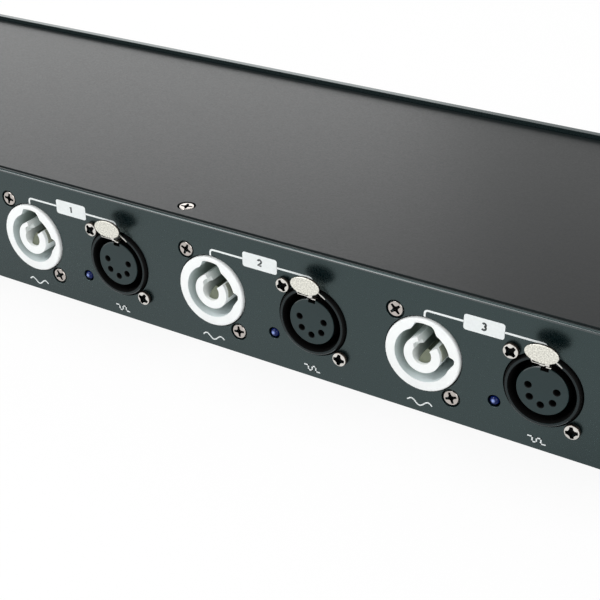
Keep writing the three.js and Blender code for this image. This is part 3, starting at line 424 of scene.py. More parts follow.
class Tree:
    """A short way to write a node tree."""

    def __init__(self, owner):
        owner.use_nodes = True
        self.nodes = owner.node_tree.nodes
        self.links = owner.node_tree.links

    def add(self, kind, **inputs):
        node = self.nodes.new(kind)
        for key, value in inputs.items():
            self.feed(node.inputs[key.replace("_", " ")], value)
        return node

    def feed(self, socket, value):
        if isinstance(value, bpy.types.NodeSocket):
            self.links.new(value, socket)
        else:
            socket.default_value = value

    def maths(self, operation, a, b):
        node = self.add("ShaderNodeMath")
        node.operation = operation
        self.feed(node.inputs[0], a)
        self.feed(node.inputs[1], b)
        return node.outputs[0]

    def step(self, value, edges, ends):
        """A smooth change from one end to the other as the value goes over the edges."""
        node = self.add("ShaderNodeMapRange", Value=value, From_Min=edges[0], From_Max=edges[1],
                        To_Min=ends[0], To_Max=ends[1])
        node.interpolation_type = "SMOOTHSTEP"
        return node.outputs["Result"]

    def blend(self, factor, first, second):
        """A colour between two others."""
        node = self.add("ShaderNodeMix")
        node.data_type = "RGBA"
        colors = [socket for socket in node.inputs if socket.type == "RGBA"]
        for socket, value in zip((node.inputs["Factor"], *colors), (factor, first, second)):
            self.feed(socket, value)
        return next(socket for socket in node.outputs if socket.type == "RGBA")


class Nodes(Tree):
    """The tree of a material, with textures that lie still on its object."""

    def __init__(self, name):
        self.material = bpy.data.materials.new(name)
        super().__init__(self.material)
        self.shader = self.nodes["Principled BSDF"]
        self.output = self.nodes["Material Output"]
        self.place = self.add("ShaderNodeTexCoord").outputs["Object"]

    def noise(self, per_mm, detail=3.0, rough=0.5):
        node = self.add("ShaderNodeTexNoise", Vector=self.place, Scale=per_mm / MM,
                        Detail=detail, Roughness=rough)
        return node.outputs["Fac"]

    def ramp(self, factor, low, high, at=(0.3, 0.7), between=()):
        node = self.add("ShaderNodeValToRGB", Fac=factor)
        stops = node.color_ramp.elements
        stops[0].position, stops[1].position = at
        stops[0].color, stops[1].color = (*low, 1), (*high, 1)
        for position, color in between:
            stops.new(position).color = (*color, 1)
        return node.outputs["Color"]

    def span(self, factor, low, high, from_low=0.3, from_high=0.7):
        node = self.add("ShaderNodeMapRange", Value=factor, From_Min=from_low, From_Max=from_high,
                        To_Min=low, To_Max=high)
        return node.outputs["Result"]

    def bump(self, height, depth_mm, strength, before=None):
        node = self.add("ShaderNodeBump", Height=height, Strength=strength,
                        Distance=depth_mm * MM)
        if before is not None:
            self.feed(node.inputs["Normal"], before)
        return node.outputs["Normal"]

    def set(self, **values):
        for key, value in values.items():
            self.feed(self.shader.inputs[key.replace("_", " ")], value)
        return self.material


def shades(color, spread):
    """The darker and the lighter neighbour of a colour."""
    return tuple(c * (1 - spread) for c in color), tuple(c * (1 + spread) for c in color)


def coated(name, color, rough, grain, depth, spread=0.12, gloss=0.5, glint=(1, 1, 1)):
    """Powder coat: orange peel, a fine grain over it, and slow cloudy changes of colour."""
    n = Nodes(name)
    low, high = shades(color, spread)
    cloud = n.noise(0.03, 4)
    fine = n.noise(grain, 4, 0.6)
    peel = n.noise(grain / 4, 2)
    peel_bump = n.bump(peel, depth * 2, 0.35)
    return n.set(
        Base_Color=n.blend(0.5, n.ramp(cloud, low, high), n.ramp(fine, low, high)),
        Roughness=n.span(fine, rough - 0.05, rough + 0.07),
        Normal=n.bump(fine, depth, 0.45, peel_bump),
        Specular_IOR_Level=gloss,
        Specular_Tint=(*glint, 1),
    )


def moulded(name, color, rough, depth=0.02, gloss=0.5):
    """Moulded plastic: a fine texture and faint flow marks."""
    n = Nodes(name)
    low, high = shades(color, 0.03)
    fine = n.noise(2.5, 3)
    flow = n.noise(0.12, 3)
    return n.set(
        Base_Color=n.ramp(flow, low, high),
        Roughness=n.span(fine, rough - 0.04, rough + 0.06),
        Normal=n.bump(fine, depth, 0.25),
        Specular_IOR_Level=gloss,
    )


def plated(name, color, rough):
    """Plated metal with fine pits and slightly uneven sheen."""
    n = Nodes(name)
    low, high = shades(color, 0.08)
    fine = n.noise(3.0, 5, 0.65)
    broad = n.noise(0.35, 3)
    return n.set(
        Metallic=1.0,
        Base_Color=n.ramp(broad, low, high),
        Roughness=n.span(fine, rough - 0.06, rough + 0.1),
        Normal=n.bump(fine, 0.01, 0.4),
    )


def frosted_plate(name, color):
    """Bead-blasted nickel of the push pads."""
    n = Nodes(name)
    low, high = shades(color, 0.2)
    cells = n.add("ShaderNodeTexVoronoi", Vector=n.place, Scale=2.6 / MM).outputs["Distance"]
    speck = n.noise(2.2, 2, 0.6)
    return n.set(
        Metallic=0.85,
        Base_Color=n.ramp(speck, low, high, (0.38, 0.62)),
        Roughness=n.span(cells, 0.3, 0.46, 0.0, 0.6),
        Normal=n.bump(cells, 0.1, 0.7),
    )


def lens(name, color, highlight_color):
    """Tinted lens with a painted highlight: a lighter spot a little off its middle."""
    n = Nodes(name)
    low, high = shades(color, 0.15)
    inner = n.noise(0.8, 2)
    away = n.add("ShaderNodeVectorMath", Vector=n.place)
    away.operation = "DISTANCE"
    away.inputs[1].default_value = (-0.15 * MM, 0.2 * MM, 0.4 * MM)
    highlight_spot = n.span(away.outputs["Value"], 1, 0, 0.15 * MM, 0.75 * MM)
    return n.set(
        Base_Color=n.blend(highlight_spot, n.ramp(inner, low, high), (*highlight_color, 1)),
        Roughness=0.1,
        Specular_IOR_Level=0.2,
    )


def throat(name, colors, low, high, left=None):
    """Plastic of a deep bore, coloured by the height in mm over the piece's origin: painted shade,
    darker deeper down.

    Colours are given for the mouth, the middle and the deep end. Those given as left fade over to
    the others across LEFT_FADE, from left to right.
    """
    n = Nodes(name)
    split = n.add("ShaderNodeSeparateXYZ", Vector=n.place)
    depth = n.span(split.outputs["Z"], 0, 1, low * MM, high * MM)

    def by_depth(row):
        mouth, halfway, deep = row
        return n.ramp(depth, deep, mouth, (0, 1), [(0.5, halfway)])

    color = by_depth(colors)
    if left:
        across = n.span(split.outputs["X"], 0, 1, *(x * MM for x in LEFT_FADE))
        color = n.blend(across, by_depth(left), color)
    fine = n.noise(2.5, 3)
    return n.set(
        Base_Color=color,
        Roughness=n.span(fine, 0.42, 0.52),
        Normal=n.bump(fine, 0.015, 0.25),
        Specular_IOR_Level=0.3,
    )


def printed(name, color):
    """Screen print: solid ink with a slightly uneven lay."""
    n = Nodes(name)
    low, high = shades(color, 0.03)
    lay = n.noise(1.2, 4)
    return n.set(Base_Color=n.ramp(lay, low, high), Roughness=n.span(lay, 0.42, 0.55),
                 Normal=n.bump(lay, 0.01, 0.2))


def circuit(name):
    n = Nodes(name)
    tracks = n.add("ShaderNodeTexBrick", Vector=n.place, Scale=0.12 / MM)
    tracks.inputs["Color1"].default_value = (0.01, 0.09, 0.04, 1)
    tracks.inputs["Color2"].default_value = (0.012, 0.11, 0.05, 1)
    tracks.inputs["Mortar"].default_value = (0.02, 0.16, 0.08, 1)
    return n.set(Base_Color=tracks.outputs["Color"], Roughness=n.span(n.noise(1.0), 0.3, 0.45))


# Bores of the power connectors: colours of the mouth, the middle and the deep end, darker deeper
# down as painted shade. The outlets' lower wall has a lighter set, painted light where light falls
# in, which fades in across LEFT_FADE from left to right.
OUTLET_BORE = ((0.6, 0.67, 0.67), (0.44, 0.52, 0.49), (0.31, 0.38, 0.34))
OUTLET_LOWER_PAINTED_LIGHT = ((0.8, 0.87, 0.88), (0.86, 0.94, 0.95), (0.66, 0.76, 0.76))
OUTLET_CORE = ((0.9, 0.93, 0.92), (0.6, 0.67, 0.64), (0.31, 0.41, 0.36))
INLET_BORE = ((0.013, 0.08, 0.27), (0.007, 0.045, 0.15), (0.002, 0.012, 0.045))
INLET_CORE = ((0.017, 0.1, 0.34), (0.01, 0.06, 0.2), (0.003, 0.018, 0.06))
BORE_HEIGHTS = (-10, 0.7)
CORE_HEIGHTS = (-11, 0.75)
LEFT_FADE = (-5, 2.5)

M = {
    # Coated steel, and coats for painted highlight, painted light and painted shade on edges and in
    # the cover's gap.
    "panel": coated("panel_coat", (0.0008, 0.005, 0.006), 0.28, 2.4, 0.008, gloss=0.77,
                    glint=(0.76, 1, 1)),
    "cover": coated("cover_coat", (0.005, 0.0068, 0.0072), 0.34, 1.8, 0.02, gloss=0.24),
    # Painted highlight: a lighter, glossier coat on rounded edges that face the light.
    "edge": coated("painted_highlight_coat", (0.012, 0.024, 0.026), 0.17, 3.0, 0.006, gloss=1.0),
    # Painted light: a lighter, duller coat on the cover's front face, which lies in the gap's
    # shade.
    "cut": coated("cover_front_painted_light", (0.025, 0.032, 0.033), 0.4, 3.0, 0.006, gloss=0.2),
    # Painted shade: a darker, duller coat on the wall's top in the cover's gap.
    "rim": coated("wall_rim_painted_shade", (0.005, 0.0105, 0.0115), 0.3, 3.0, 0.006, gloss=0.22,
                  glint=(0.75, 0.8, 0.8)),
    # Plastics.
    "white": moulded("white_plastic", (0.93, 0.955, 0.95), 0.38, 0.015),
    "blue": moulded("blue_plastic", (0.02, 0.12, 0.42), 0.38, 0.015),
    "black": moulded("black_plastic", (0.008, 0.008, 0.009), 0.35, 0.015),
    "shell": coated("black_shell", (0.0008, 0.0075, 0.009), 0.27, 4.0, 0.006, gloss=0.33),
    "insert": moulded("insert_plastic", (0.004, 0.0195, 0.021), 0.36, gloss=0.43),
    "strip": moulded("contact_strip", (0.3, 0.31, 0.25), 0.4, gloss=0.4),
    "lead": moulded("cable_jacket", (0.012, 0.012, 0.012), 0.55),
    # Painted shade: near black for recesses, bores and sides that light doesn't reach.
    "painted_shade": moulded("recess_painted_shade", (0.0015, 0.0015, 0.0015), 0.6, 0.01, gloss=0.12),
    # Painted shade in the bores and on the cores' sides, darker deeper down, and painted light on
    # the outlets' lower walls.
    "throat": throat("outlet_bore", OUTLET_BORE, *BORE_HEIGHTS),
    "lower_throat_painted_light": throat("outlet_bore_lower_painted_light", OUTLET_LOWER_PAINTED_LIGHT, *BORE_HEIGHTS, left=OUTLET_BORE),
    "core_side": throat("outlet_core_side", OUTLET_CORE, *CORE_HEIGHTS),
    "inlet_throat": throat("inlet_bore", INLET_BORE, *BORE_HEIGHTS),
    "inlet_side": throat("inlet_core_side", INLET_CORE, *CORE_HEIGHTS),
    # Painted highlight: the lens's lighter spot.
    "lamp": lens("blue_lens", (0.002, 0.01, 0.09), (0.3, 0.4, 0.8)),
    # Metals.
    "nickel": plated("nickel_plate", (0.5, 0.46, 0.43), 0.22),
    # Painted shade: a darker nickel for the sides of screw heads and pads.
    "painted_shade_nickel": plated("nickel_painted_shade", (0.085, 0.07, 0.06), 0.3),
    "bright": plated("bright_nickel", (0.7, 0.68, 0.64), 0.17),
    "pad": frosted_plate("pad_nickel", (0.74, 0.73, 0.66)),
    "contact": plated("contact_metal", (0.19, 0.212, 0.158), 0.42),
    "gold": plated("gold_plate", (0.75, 0.55, 0.25), 0.22),
    "terminal": plated("terminal_tin", (0.7, 0.68, 0.62), 0.3),
    # Inks and boards.
    "ink": printed("white_ink", (0.82, 0.86, 0.86)),
    "tag_ink": printed("dark_ink", (0.03, 0.038, 0.04)),
    "board": circuit("circuit_board"),
}

# ---- camera


# Fitted to the photograph: the lens, the place in millimetres and the directions of the view.
FOCAL_LENGTH = 73.61
SHIFT_UP = 0.0709
EYE = Vector((power_x[3] + 123.31, FACE_Y - 273.41, 205.38))
RIGHT = Vector((0.85751, 0.51447, -0.00139))
DOWN = Vector((0.26688, -0.44713, -0.85373))
FORWARD = Vector((-0.43984, 0.73171, -0.52072))


def camera():
    data = bpy.data.cameras.new("camera")
    data.sensor_width = 36
    data.lens = FOCAL_LENGTH
    data.shift_y = SHIFT_UP
    data.clip_start = 0.01
    ob = link(bpy.data.objects.new("camera", data))
    turn = Matrix((RIGHT, -DOWN, -FORWARD)).transposed().to_4x4()
    ob.matrix_world = Matrix.Translation(EYE * MM) @ turn
    bpy.context.scene.camera = ob


camera()

# ---- sheet metal


def folded(corners, sheet, radius, steps=8):
    """Section of a folded sheet whose outer corners turn left, as points round it."""
    at = [Vector(c) for c in corners]
    way = [(b - a).normalized() for a, b in zip(at, at[1:])]
    left = [Vector((-w.y, w.x)) for w in way]
    outer, inner = [tuple(at[0])], [tuple(at[0] + left[0] * sheet)]
    for i in range(1, len(at) - 1):
        centre = at[i] - way[i - 1] * radius + left[i - 1] * radius
        start = math.degrees(math.atan2(-left[i - 1].y, -left[i - 1].x))
        outer += arc(centre.x, centre.y, radius, start, start + 90, steps)
        inner += arc(centre.x, centre.y, max(radius - sheet, 0.05), start, start + 90, steps)
    outer.append(tuple(at[-1]))
    inner.append(tuple(at[-1] + left[-1] * sheet))
    return outer + inner[::-1]


def sink():
    """Countersink: a cone for the head under a short steep rim."""
    return lathe("c", [(0, -7), (SCREW_HOLE, -7), (SCREW_HOLE, -1.35), (2.5, -1.25), (2.9, -0.4),
                       (2.96, -0.05), (3.02, 0), (3.02, 0.6), (0, 0.6)], 48)


def hole(radius, rim, segments=96):
    """Cutter of a punched hole whose edge is softened."""
    return lathe("c", [(0, -3), (radius, -3), (radius, -rim), (radius + rim * 0.4, -rim * 0.35),
                       (radius + rim, 0), (radius + rim, 1), (0, 1)], segments)


def connector_wall():
    """Wall with a rounded upper edge, holes for the connectors and lamps, and countersinks."""
    y0, top = tray_low.y, tray_high.z
    front, rear = WALL_ROUND, WALL_REAR_ROUND
    outline = [(y0, 0), (y0 + TRAY_SHEET, 0)]
    outline += arc(y0 + TRAY_SHEET - rear, top - rear, rear, 0, 90, 4)
    outline += arc(y0 + front, top - front, front, 90, 180, 12)
    wall = place(prism("wall", outline, tray_low.x, tray_high.x), ALONG_X)

    def punch(cutter, x, z=CENTRE_Z):
        return place(cutter, at_matrix(x, y0, z, OUT_FRONT))

    rings = [punch(hole(POWER_HOLE, HOLE_EDGE), x) for x in power_spots]
    rings += [punch(hole(DMX_HOLE, HOLE_EDGE), x) for x in signal_spots]
    small = [punch(sink(), x + dx, CENTRE_Z + dz) for x in power_spots for dx, dz in power_screws]
    small += [punch(hole(LAMP_HOLE, 0.2, 40), x + LAMP_DX, CENTRE_Z + LAMP_DY)
              for x in signal_x.values()]
    boolean(wall, [joined("c", rings)])
    return boolean(wall, [joined("c", small)])


def tray():
    """Floor, rear wall and rear shelf in one sheet, and the connector wall with its shelf."""
    y0, y1, top = tray_low.y, tray_high.y, tray_high.z
    half = tray_high.x - COVER_SHEET - SEAT
    shelf = top - COVER_SHEET - SEAT
    section = folded([(y0 + 0.1, 0), (y1, 0), (y1, shelf), (y1 - FLANGE, shelf)],
                     TRAY_SHEET, TRAY_FOLD)
    sheet = place(prism("tray_sheet", section, -half, half), ALONG_X)
    bevelled(sheet, 0.12, 2, 60)
    ledge = block("ledge", (-half, y0 + 1, shelf - TRAY_SHEET), (half, y0 + FLANGE, shelf))
    holes = [place(cylinder("c", SCREW_HOLE, -4, 1, 32), at_matrix(p.x, p.y, shelf))
             for p in cover_screws.values()]
    boolean(ledge, [joined("c", holes)])
    tabs = [block("tab", (x - TRAY_SHEET / 2, y0 + TAB_INSET, TAB_FOOT),
                  (x + TRAY_SHEET / 2, y1 - TAB_INSET, TAB_HEIGHT))
            for x in (-half + TRAY_SHEET / 2, half - TRAY_SHEET / 2)]
    ob = joined("tray_shell", [sheet, ledge, connector_wall(), *tabs])
    # Painted highlight on the wall's rounded front edge, where it faces the light: a lighter,
    # glossier coat. Painted shade on the wall's top in the cover's gap: a darker, duller coat.
    tint(ob, 1, lambda p, n: p.y < y0 + WALL_ROUND and p.z > top - WALL_ROUND
         and n.y < -0.7 and n.z > 0.2)
    tint(ob, 2, lambda p, n: p.y < y0 + TRAY_SHEET and p.z > top - 0.1 and n.z > 0.95)
    return set_piece(ob, Matrix.Identity(4), "case", M["panel"], ["chassis_tray"],
                     (M["edge"], M["rim"]))


def cover():
    x0, x1, top = cover_low.x, cover_high.x, cover_high.z
    section = folded([(x1, cover_low.z), (x1, top), (x0, top), (x0, cover_low.z)],
                     COVER_SHEET, COVER_FOLD)
    ob = prism("cover_sheet", section, -cover_high.y, -cover_low.y)
    place(ob, ALONG_Y)
    bevelled(ob, 0.12, 2, 60)
    cutters = [place(sink(), at_matrix(p.x, p.y, top)) for p in cover_screws.values()]
    for i in range(VENTS):
        y = middle("chassis_tray").y + (i - (VENTS - 1) / 2) * VENT_STEP
        slot = prism("c", rounded(*VENT, VENT[0] / 2, y, top / 2, 8), x0 - 1, x1 + 1)
        cutters.append(place(slot, ALONG_X))
    boolean(ob, [joined("c", cutters)])
    ob.name = "cover_shell"
    # Painted light: the cover's front face, in the gap's shade, gets a lighter, duller coat.
    tint(ob, 1, lambda p, n: n.y < -0.6 and p.y < cover_low.y + 0.3)
    return set_piece(ob, Matrix.Identity(4), "case", M["cover"], ["top_cover"],
                     (M["cut"],))


def rack_panel():
    w, h = panel_high.x - panel_low.x, panel_high.z
    holes = [rounded(*RACK_SLOT, RACK_SLOT_ROUND, x, h / 2 + z * RACK_SLOT_STEP / 2, 10)
             for x in (-RACK_SLOT_X, RACK_SLOT_X) for z in (-1, 1)]
    holes.append(rounded(*SWITCH_HOLE, 0.4, switch_at.x, switch_at.z, 3))
    ob = prism("rack_sheet", rounded(w, h, CORNER, 0, h / 2), -panel_high.y, -panel_low.y,
               holes)
    place(ob, ALONG_Y)
    bevelled(ob, 0.2, 2, 60)
    cutters = [place(sink(), at_matrix(p.x, PANEL_Y, p.z, OUT_BACK))
               for p in panel_screws.values()]
    cutters.append(place(cylinder("c", LAMP_HOLE, -4, 1, 40),
                         at_matrix(lamp_at.x, PANEL_Y, lamp_at.z, OUT_BACK)))
    boolean(ob, [joined("c", cutters)])
    ob.name = "rack_plate"
    return set_piece(ob, Matrix.Identity(4), "case", M["panel"], ["front_panel"])


tray()
cover()
rack_panel()

# ---- screws


def cross(width, length, depth, top):
    """Cutter of a cross recess whose arms narrow towards their tips, turned a little."""
    w, c, l = width / 2, width * 0.82, length / 2
    tip = w * 0.72
    quarter = [(l, -tip), (l, tip), (c, w), (w, c)]
    outline = []
    for k in range(4):
        a = math.radians(90 * k + 18)
        outline += [(x * math.cos(a) - y * math.sin(a), x * math.sin(a) + y * math.cos(a))
                    for x, y in quarter]
    return prism("c", outline, top - depth, top + 0.4)


def recess(ob, top):
    """Gives the walls and floor of a head's recess painted shade, near black."""
    return tint(ob, 1, lambda p, n: p.z < top - 0.1 and off_axis(p) < 1.95)


def sunk_screw():
    top = SUNK_TOP
    head = lathe("sunk_screw", [(0, SHANK_END), (SHANK, SHANK_END), (SHANK, top - 1.1),
                                (2.28, top - 0.35), (2.34, top - 0.16), (2.24, top - 0.03),
                                (2.05, top), (0, top - 0.04)], 64)
    return recess(boolean(head, [cross(0.95, 3.7, 1.3, top)], smooth=30), top - 0.04)


def pan_screw():
    low, high = PAN_BASE, PAN_TOP
    dome = [(2.36 - 0.62 * (1 - math.cos(math.radians(a))),
             high - 0.72 + 0.45 * math.sin(math.radians(a))) for a in range(0, 91, 15)]
    profile = [(0, SHANK_END), (SHANK, SHANK_END), (SHANK, low), (2.25, low), (2.36, low + 0.12),
               *dome, (1.2, high - 0.12), (0.6, high), (0, high)]
    head = lathe("pan_screw", profile, 64)
    recess(boolean(head, [cross(1.3, 3.7, 1.6, high)], smooth=30), high - 0.3)
    # Painted shade on the lower side of the head: a darker nickel.
    return tint(head, 2, lambda p, n: p.z < 1.36 and off_axis(p) > 1.97)


sunk = sunk_screw()
pan = pan_screw()
for source, metal in ((sunk, M["nickel"]), (pan, M["bright"])):
    for material in (metal, M["painted_shade"], M["painted_shade_nickel"]):
        source.data.materials.append(material)


def put_screw(source, name, where, node):
    """Sets a screw that shares its mesh and its materials with the others of its kind."""
    ob = link(bpy.data.objects.new(name, source.data))
    set_piece(ob, where, "case", replaces=[node])


for key, p in cover_screws.items():
    where = Matrix.Translation(Vector((p.x, p.y, cover_high.z)) * MM)
    put_screw(sunk, f"cover_screw_head_{key}", where, f"cover_screw_{key}")
for key, p in panel_screws.items():
    put_screw(sunk, f"panel_screw_head_{key}", on_panel(p.x, p.z), f"panel_screw_{key}")
for source, family, spots, screws, turns in (
    (sunk, "power", power_spots, power_screws, SCREW_TURNS),
    (pan, "dmx", signal_spots, signal_screws, [a + 20 for a in reversed(SCREW_TURNS)]),
):
    for k, x in enumerate(spots):
        label = connector(family, k)
        for j, (dx, dy) in enumerate(screws):
            turn = turned(turns[2 * k + j], "Z")
            where = on_face(x + dx, CENTRE_Z + dy) @ turn
            put_screw(source, f"{label}_screw_head_{j + 1}", where, f"{label}_screw_{j + 1}")
discard((sunk, pan))

# ---- power connectors


def with_plate(ob, size):
    """Adds the plate that a connector has behind the wall."""
    plate = prism("c", rounded(*size, CORNER, n=4), PLATE_BACK, PLATE_FRONT)
    return boolean(ob, [plate], "UNION")


def screw_holes(spots):
    """Cutter of a connector's screw holes."""
    return joined("c", [place(cylinder("c", SCREW_HOLE, -5, 2, 24), at_matrix(dx, dy, 0))
                        for dx, dy in spots])


def power_housing():
    """Ring with the bore, the flared key at its top and the slanted key at its side."""
    face, lip = POWER_PROUD, 0.5
    edge = arc(POWER_RING - lip, face - lip, lip, 0, 90, 6)
    ob = lathe("power_housing", [(0, -DEPTH), (POWER_RING, -DEPTH), *edge, (0, face)], 128)
    with_plate(ob, POWER_PLATE)
    bore = cylinder("c", POWER_BORE, POWER_FLOOR, 2, 128)
    crown = arc(0, 0, 10.5, 104, 76, 8)
    key = prism("c", [(-4.2, 7.3), (-3.25, 8.85), (-2.85, 9.85), *crown, (2.85, 9.95), (3.3, 9.5),
                      (4.3, 7.3)], POWER_FLOOR, 2)
    side = prism("c", [(7.4, -2.6), (8.45, -2.45), (9.5, -0.85), (10.05, -0.1), (10.1, 0.1),
                       (10.1, 1.15), (9.75, 1.65), (8.75, 2.0), (7.4, 2.05)], POWER_FLOOR, 2)
    boolean(ob, [bore, key, side, screw_holes(power_screws)])
    bevelled(ob, 0.14, 2, 50)

    def in_bore(p, radius):
        return -15 < p.z < face - 0.16 and off_axis(p) < radius

    # Painted shade in the bore, darker deeper down, and, in the outlets, painted light on its lower
    # wall, where light falls, and painted shade on the plate seen in the wall's hole.
    tint(ob, 1, lambda p, n: in_bore(p, 11.2))
    tint(ob, 3, lambda p, n: in_bore(p, 10.3) and abs(n.z) < 0.3 and p.x > -5 and p.y < -0.5)
    return tint(ob, 2, lambda p, n: abs(p.z - PLATE_FRONT) < 0.1 and n.z > 0.7)


def power_core():
    """Split core with a step beside its gap."""
    outline = arc(0, 0, CORE, 107, 399, 72) + arc(0, 0, CORE_BORE, 399, 101, 60)
    ob = prism("power_core", outline, POWER_FLOOR, POWER_PROUD)
    step = prism("c", [(-0.4, 2.3), (-0.78, 4.35), (-1.9, 4.0), (-2.87, 2.96), (-2.7, 1.9),
                       (-2.2, 1.2), (-0.4, 1.2)], POWER_PROUD - 2.2, 2)
    boolean(ob, [step])
    bevelled(ob, 0.22, 3, 50)
    # Painted shade on the core's sides in its gap and bore, darker deeper down; its outer side
    # stays plain.
    return tint(ob, 1, lambda p, n: p.z < POWER_PROUD - 0.24 and n.x * p.x + n.y * p.y < 5)


def power_contacts():
    """Blade inside the core and strip on its outside."""
    blade = [(-1.35, -2.5), (-0.95, -1.3), (-0.25, 0.15), (0.6, 1.4), (1.3, 2.15), (2.1, 1.95)]
    inner = prism("c", blade + arc(0, 0, 2.9, 30, -118, 20), POWER_FLOOR, -0.1)
    bevelled(inner, 0.3, 3, 50)
    strip = prism("c", arc(0, 0, 6.02, -9, 37, 16) + arc(0, 0, CORE + 0.02, 37, -9, 16),
                  POWER_FLOOR, -0.35)
    ob = joined("power_contacts", [inner, strip])
    return tint(ob, 1, lambda p, n: off_axis(p) > 4)


housing, core, contacts = power_housing(), power_core(), power_contacts()
# Each kind's plastic, with painted shade for its bore and its core's sides, and, in the outlets,
# painted light on the bore's lower wall.
outlet_looks = (M["white"], M["throat"], M["lower_throat_painted_light"], M["core_side"])
inlet_looks = (M["blue"], M["inlet_throat"], M["inlet_throat"], M["inlet_side"])
for k, x in enumerate(power_spots):
    label, where = connector("power", k), on_face(x)
    plastic, bore, lower_bore_light_and_shade, side = outlet_looks if k else inlet_looks
    dress(housing, f"{label}_housing", where, "case", plastic, [label],
          (bore, M["painted_shade"], lower_bore_light_and_shade))
    dress(core, f"{label}_core", where, "case", plastic, (), (side,))
    dress(contacts, f"{label}_contacts", where, "case", M["contact"], (), (M["strip"],))
discard((housing, core, contacts))

# ---- signal connectors

pin_spots = [
    (PIN_CIRCLE * math.sin(math.radians((i - 2) * PIN_STEP)),
     -PIN_CIRCLE * math.cos(math.radians((i - 2) * PIN_STEP)) - PIN_DROP)
    for i in range(5)
]


def signal_housing(latch):
    """Ring with its bore: the outlets' have a slot for the latch, and the inlet's a key groove."""
    face = DMX_PROUD
    edge = [(DMX_RING, 0.25), (11.02, face - 0.25), (10.93, face - 0.08), (10.75, face)]
    ob = lathe("signal_housing", [(0, -DEPTH), (DMX_RING, -DEPTH), *edge, (0, face)], 128)
    with_plate(ob, DMX_PLATE)
    radius, flare = (DMX_BORE, DMX_BORE_FLARE) if latch else (DMX_IN_BORE, DMX_IN_BORE_FLARE)
    cutters = [lathe("c", [(0, DMX_FLOOR), (radius, DMX_FLOOR), (radius, face - 1.2),
                           (radius + flare, face - 0.1), (radius + flare + 0.05, 2), (0, 2)], 128)]
    if latch:
        boolean(ob, [block("c", (-5.2, 9.1, -8.5), (5.2, 12.95, PLATE_FRONT))], "UNION")
        cutters.append(block("c", (-3, 8.55, -6.8), (3, 13.5, 2)))
    else:
        cutters.append(block("c", (-2.5, 7.9, DMX_FLOOR), (2.5, 9.7, 2)))
    boolean(ob, [*cutters, screw_holes(signal_screws)])
    # Painted shade on everything behind the face and on the ring's outer side, and a painted
    # highlight on the ring's lower edge, which catches light.
    tint(ob, 1, lambda p, n: p.z < face - 0.2 or off_axis(p) > 10.82 and p.y > -6)
    return tint(ob, 2, lambda p, n: p.z > face - 0.3 and off_axis(p) > 10.76 and p.y < -7)


def socket_insert():
    """Round insert with the pin holes and the key's slot."""
    face, back = INSERT_FACE, DMX_FLOOR + 0.2
    edge = arc(INSERT - 0.3, face - 0.3, 0.3, 0, 90, 5)
    ob = lathe("socket_insert", [(0, back), (INSERT, back), *edge, (0, face)], 112)
    holes = []
    for x, y in pin_spots:
        hole = lathe("c", [(0, -9), (PIN_HOLE, -9), (PIN_HOLE, face - 0.18),
                           (PIN_HOLE_MOUTH, face), (PIN_HOLE_MOUTH, 2), (0, 2)], 32)
        holes.append(place(hole, at_matrix(x, y, 0)))
    holes.append(block("c", (-1.2, INSERT - 1.2, -20), (1.2, INSERT + 1, 2)))
    boolean(ob, [joined("c", holes)])

    def in_hole(p):
        return any(math.hypot(p.x - x, p.y - y) < PIN_HOLE_MOUTH + 0.03 for x, y in pin_spots)

    # Painted highlight on the upper left of the rounded edge, and painted shade on the sides and in
    # the pin holes.
    tint(ob, 2, lambda p, n: p.y > 4.5 and p.x < -1 and off_axis(p) > INSERT - 0.28)
    return tint(ob, 1, lambda p, n: p.z < face - 0.28 or n.z < 0.95 and in_hole(p))


def socket_contacts():
    obs = []
    for x, y in pin_spots:
        tube = lathe("c", [(0.72, -9), (0.92, -9), (0.92, -2.2), (0.72, -2.2)], 24)
        obs.append(place(tube, at_matrix(x, y, 0)))
    return joined("socket_contacts", obs)


def lever():
    """Arm, hook, pin and spring of the latch, drawn from the side as (out, up)."""
    low, high = PIVOT_UP - ARM_THICK / 2, PIVOT_UP + ARM_THICK / 2
    side = [(PIVOT_OUT, low), (0.8, low), (4.75, 10.8), (4.75, 13.2), (3.95, 13.2), (3.95, 11.9),
            (0.8, high), (PIVOT_OUT, high)]
    arm = place(prism("c", side, -ARM_HALF, ARM_HALF), FROM_SIDE)
    bevelled(arm, 0.1, 2, 50)
    hook = place(prism("c", [(-2.2, 7.9), (0.6, 7.85), (0.85, 8.0), (0.85, 8.35), (-0.6, 8.5),
                             (-0.8, 10), (-2.2, 10)], 0.1, 1.6), FROM_SIDE)
    bevelled(hook, 0.12, 2, 50)
    ledge = bevelled(block("c", (0.9, 8.85, 0.4), (2.35, 9.2, 2.55)), 0.06, 2, 50)
    spring = prism("c", [(2.3, 11.15), (4, 10.1), (5.05, 9.45), (5.2, 9.65), (4.1, 10.5),
                         (2.3, 11.5)], 1.25, 1.75)
    bevelled(spring, 0.06, 2, 50)
    pivot = at_matrix(0, PIVOT_UP, PIVOT_OUT, turned(90, "Y"))
    barrel = place(cylinder("c", 1.3, -ARM_HALF, ARM_HALF, 32), pivot)
    pin = place(cylinder("c", 0.6, -5, 5, 20), pivot)
    ob = joined("latch_lever", [arm, hook, ledge, spring, barrel, pin])
    return tint(ob, 1, lambda p, n: 1.2 < p.x < 1.8 and 9.4 < p.y < 11.6 and p.z > 2.25)


def push_pad():
    """Oval pad with painted shade on its sides, a darker nickel."""
    angles = (2 * math.pi * k / 72 for k in range(72))
    ellipse = [(PAD_HALF[0] * math.cos(t), PAD_Y + PAD_HALF[1] * math.sin(t)) for t in angles]
    pad = prism("push_pad", ellipse, *PAD_DEPTH)
    bevelled(pad, 0.3, 4, 40, smooth=50)
    return tint(pad, 1, lambda p, n: n.z < 0.5)


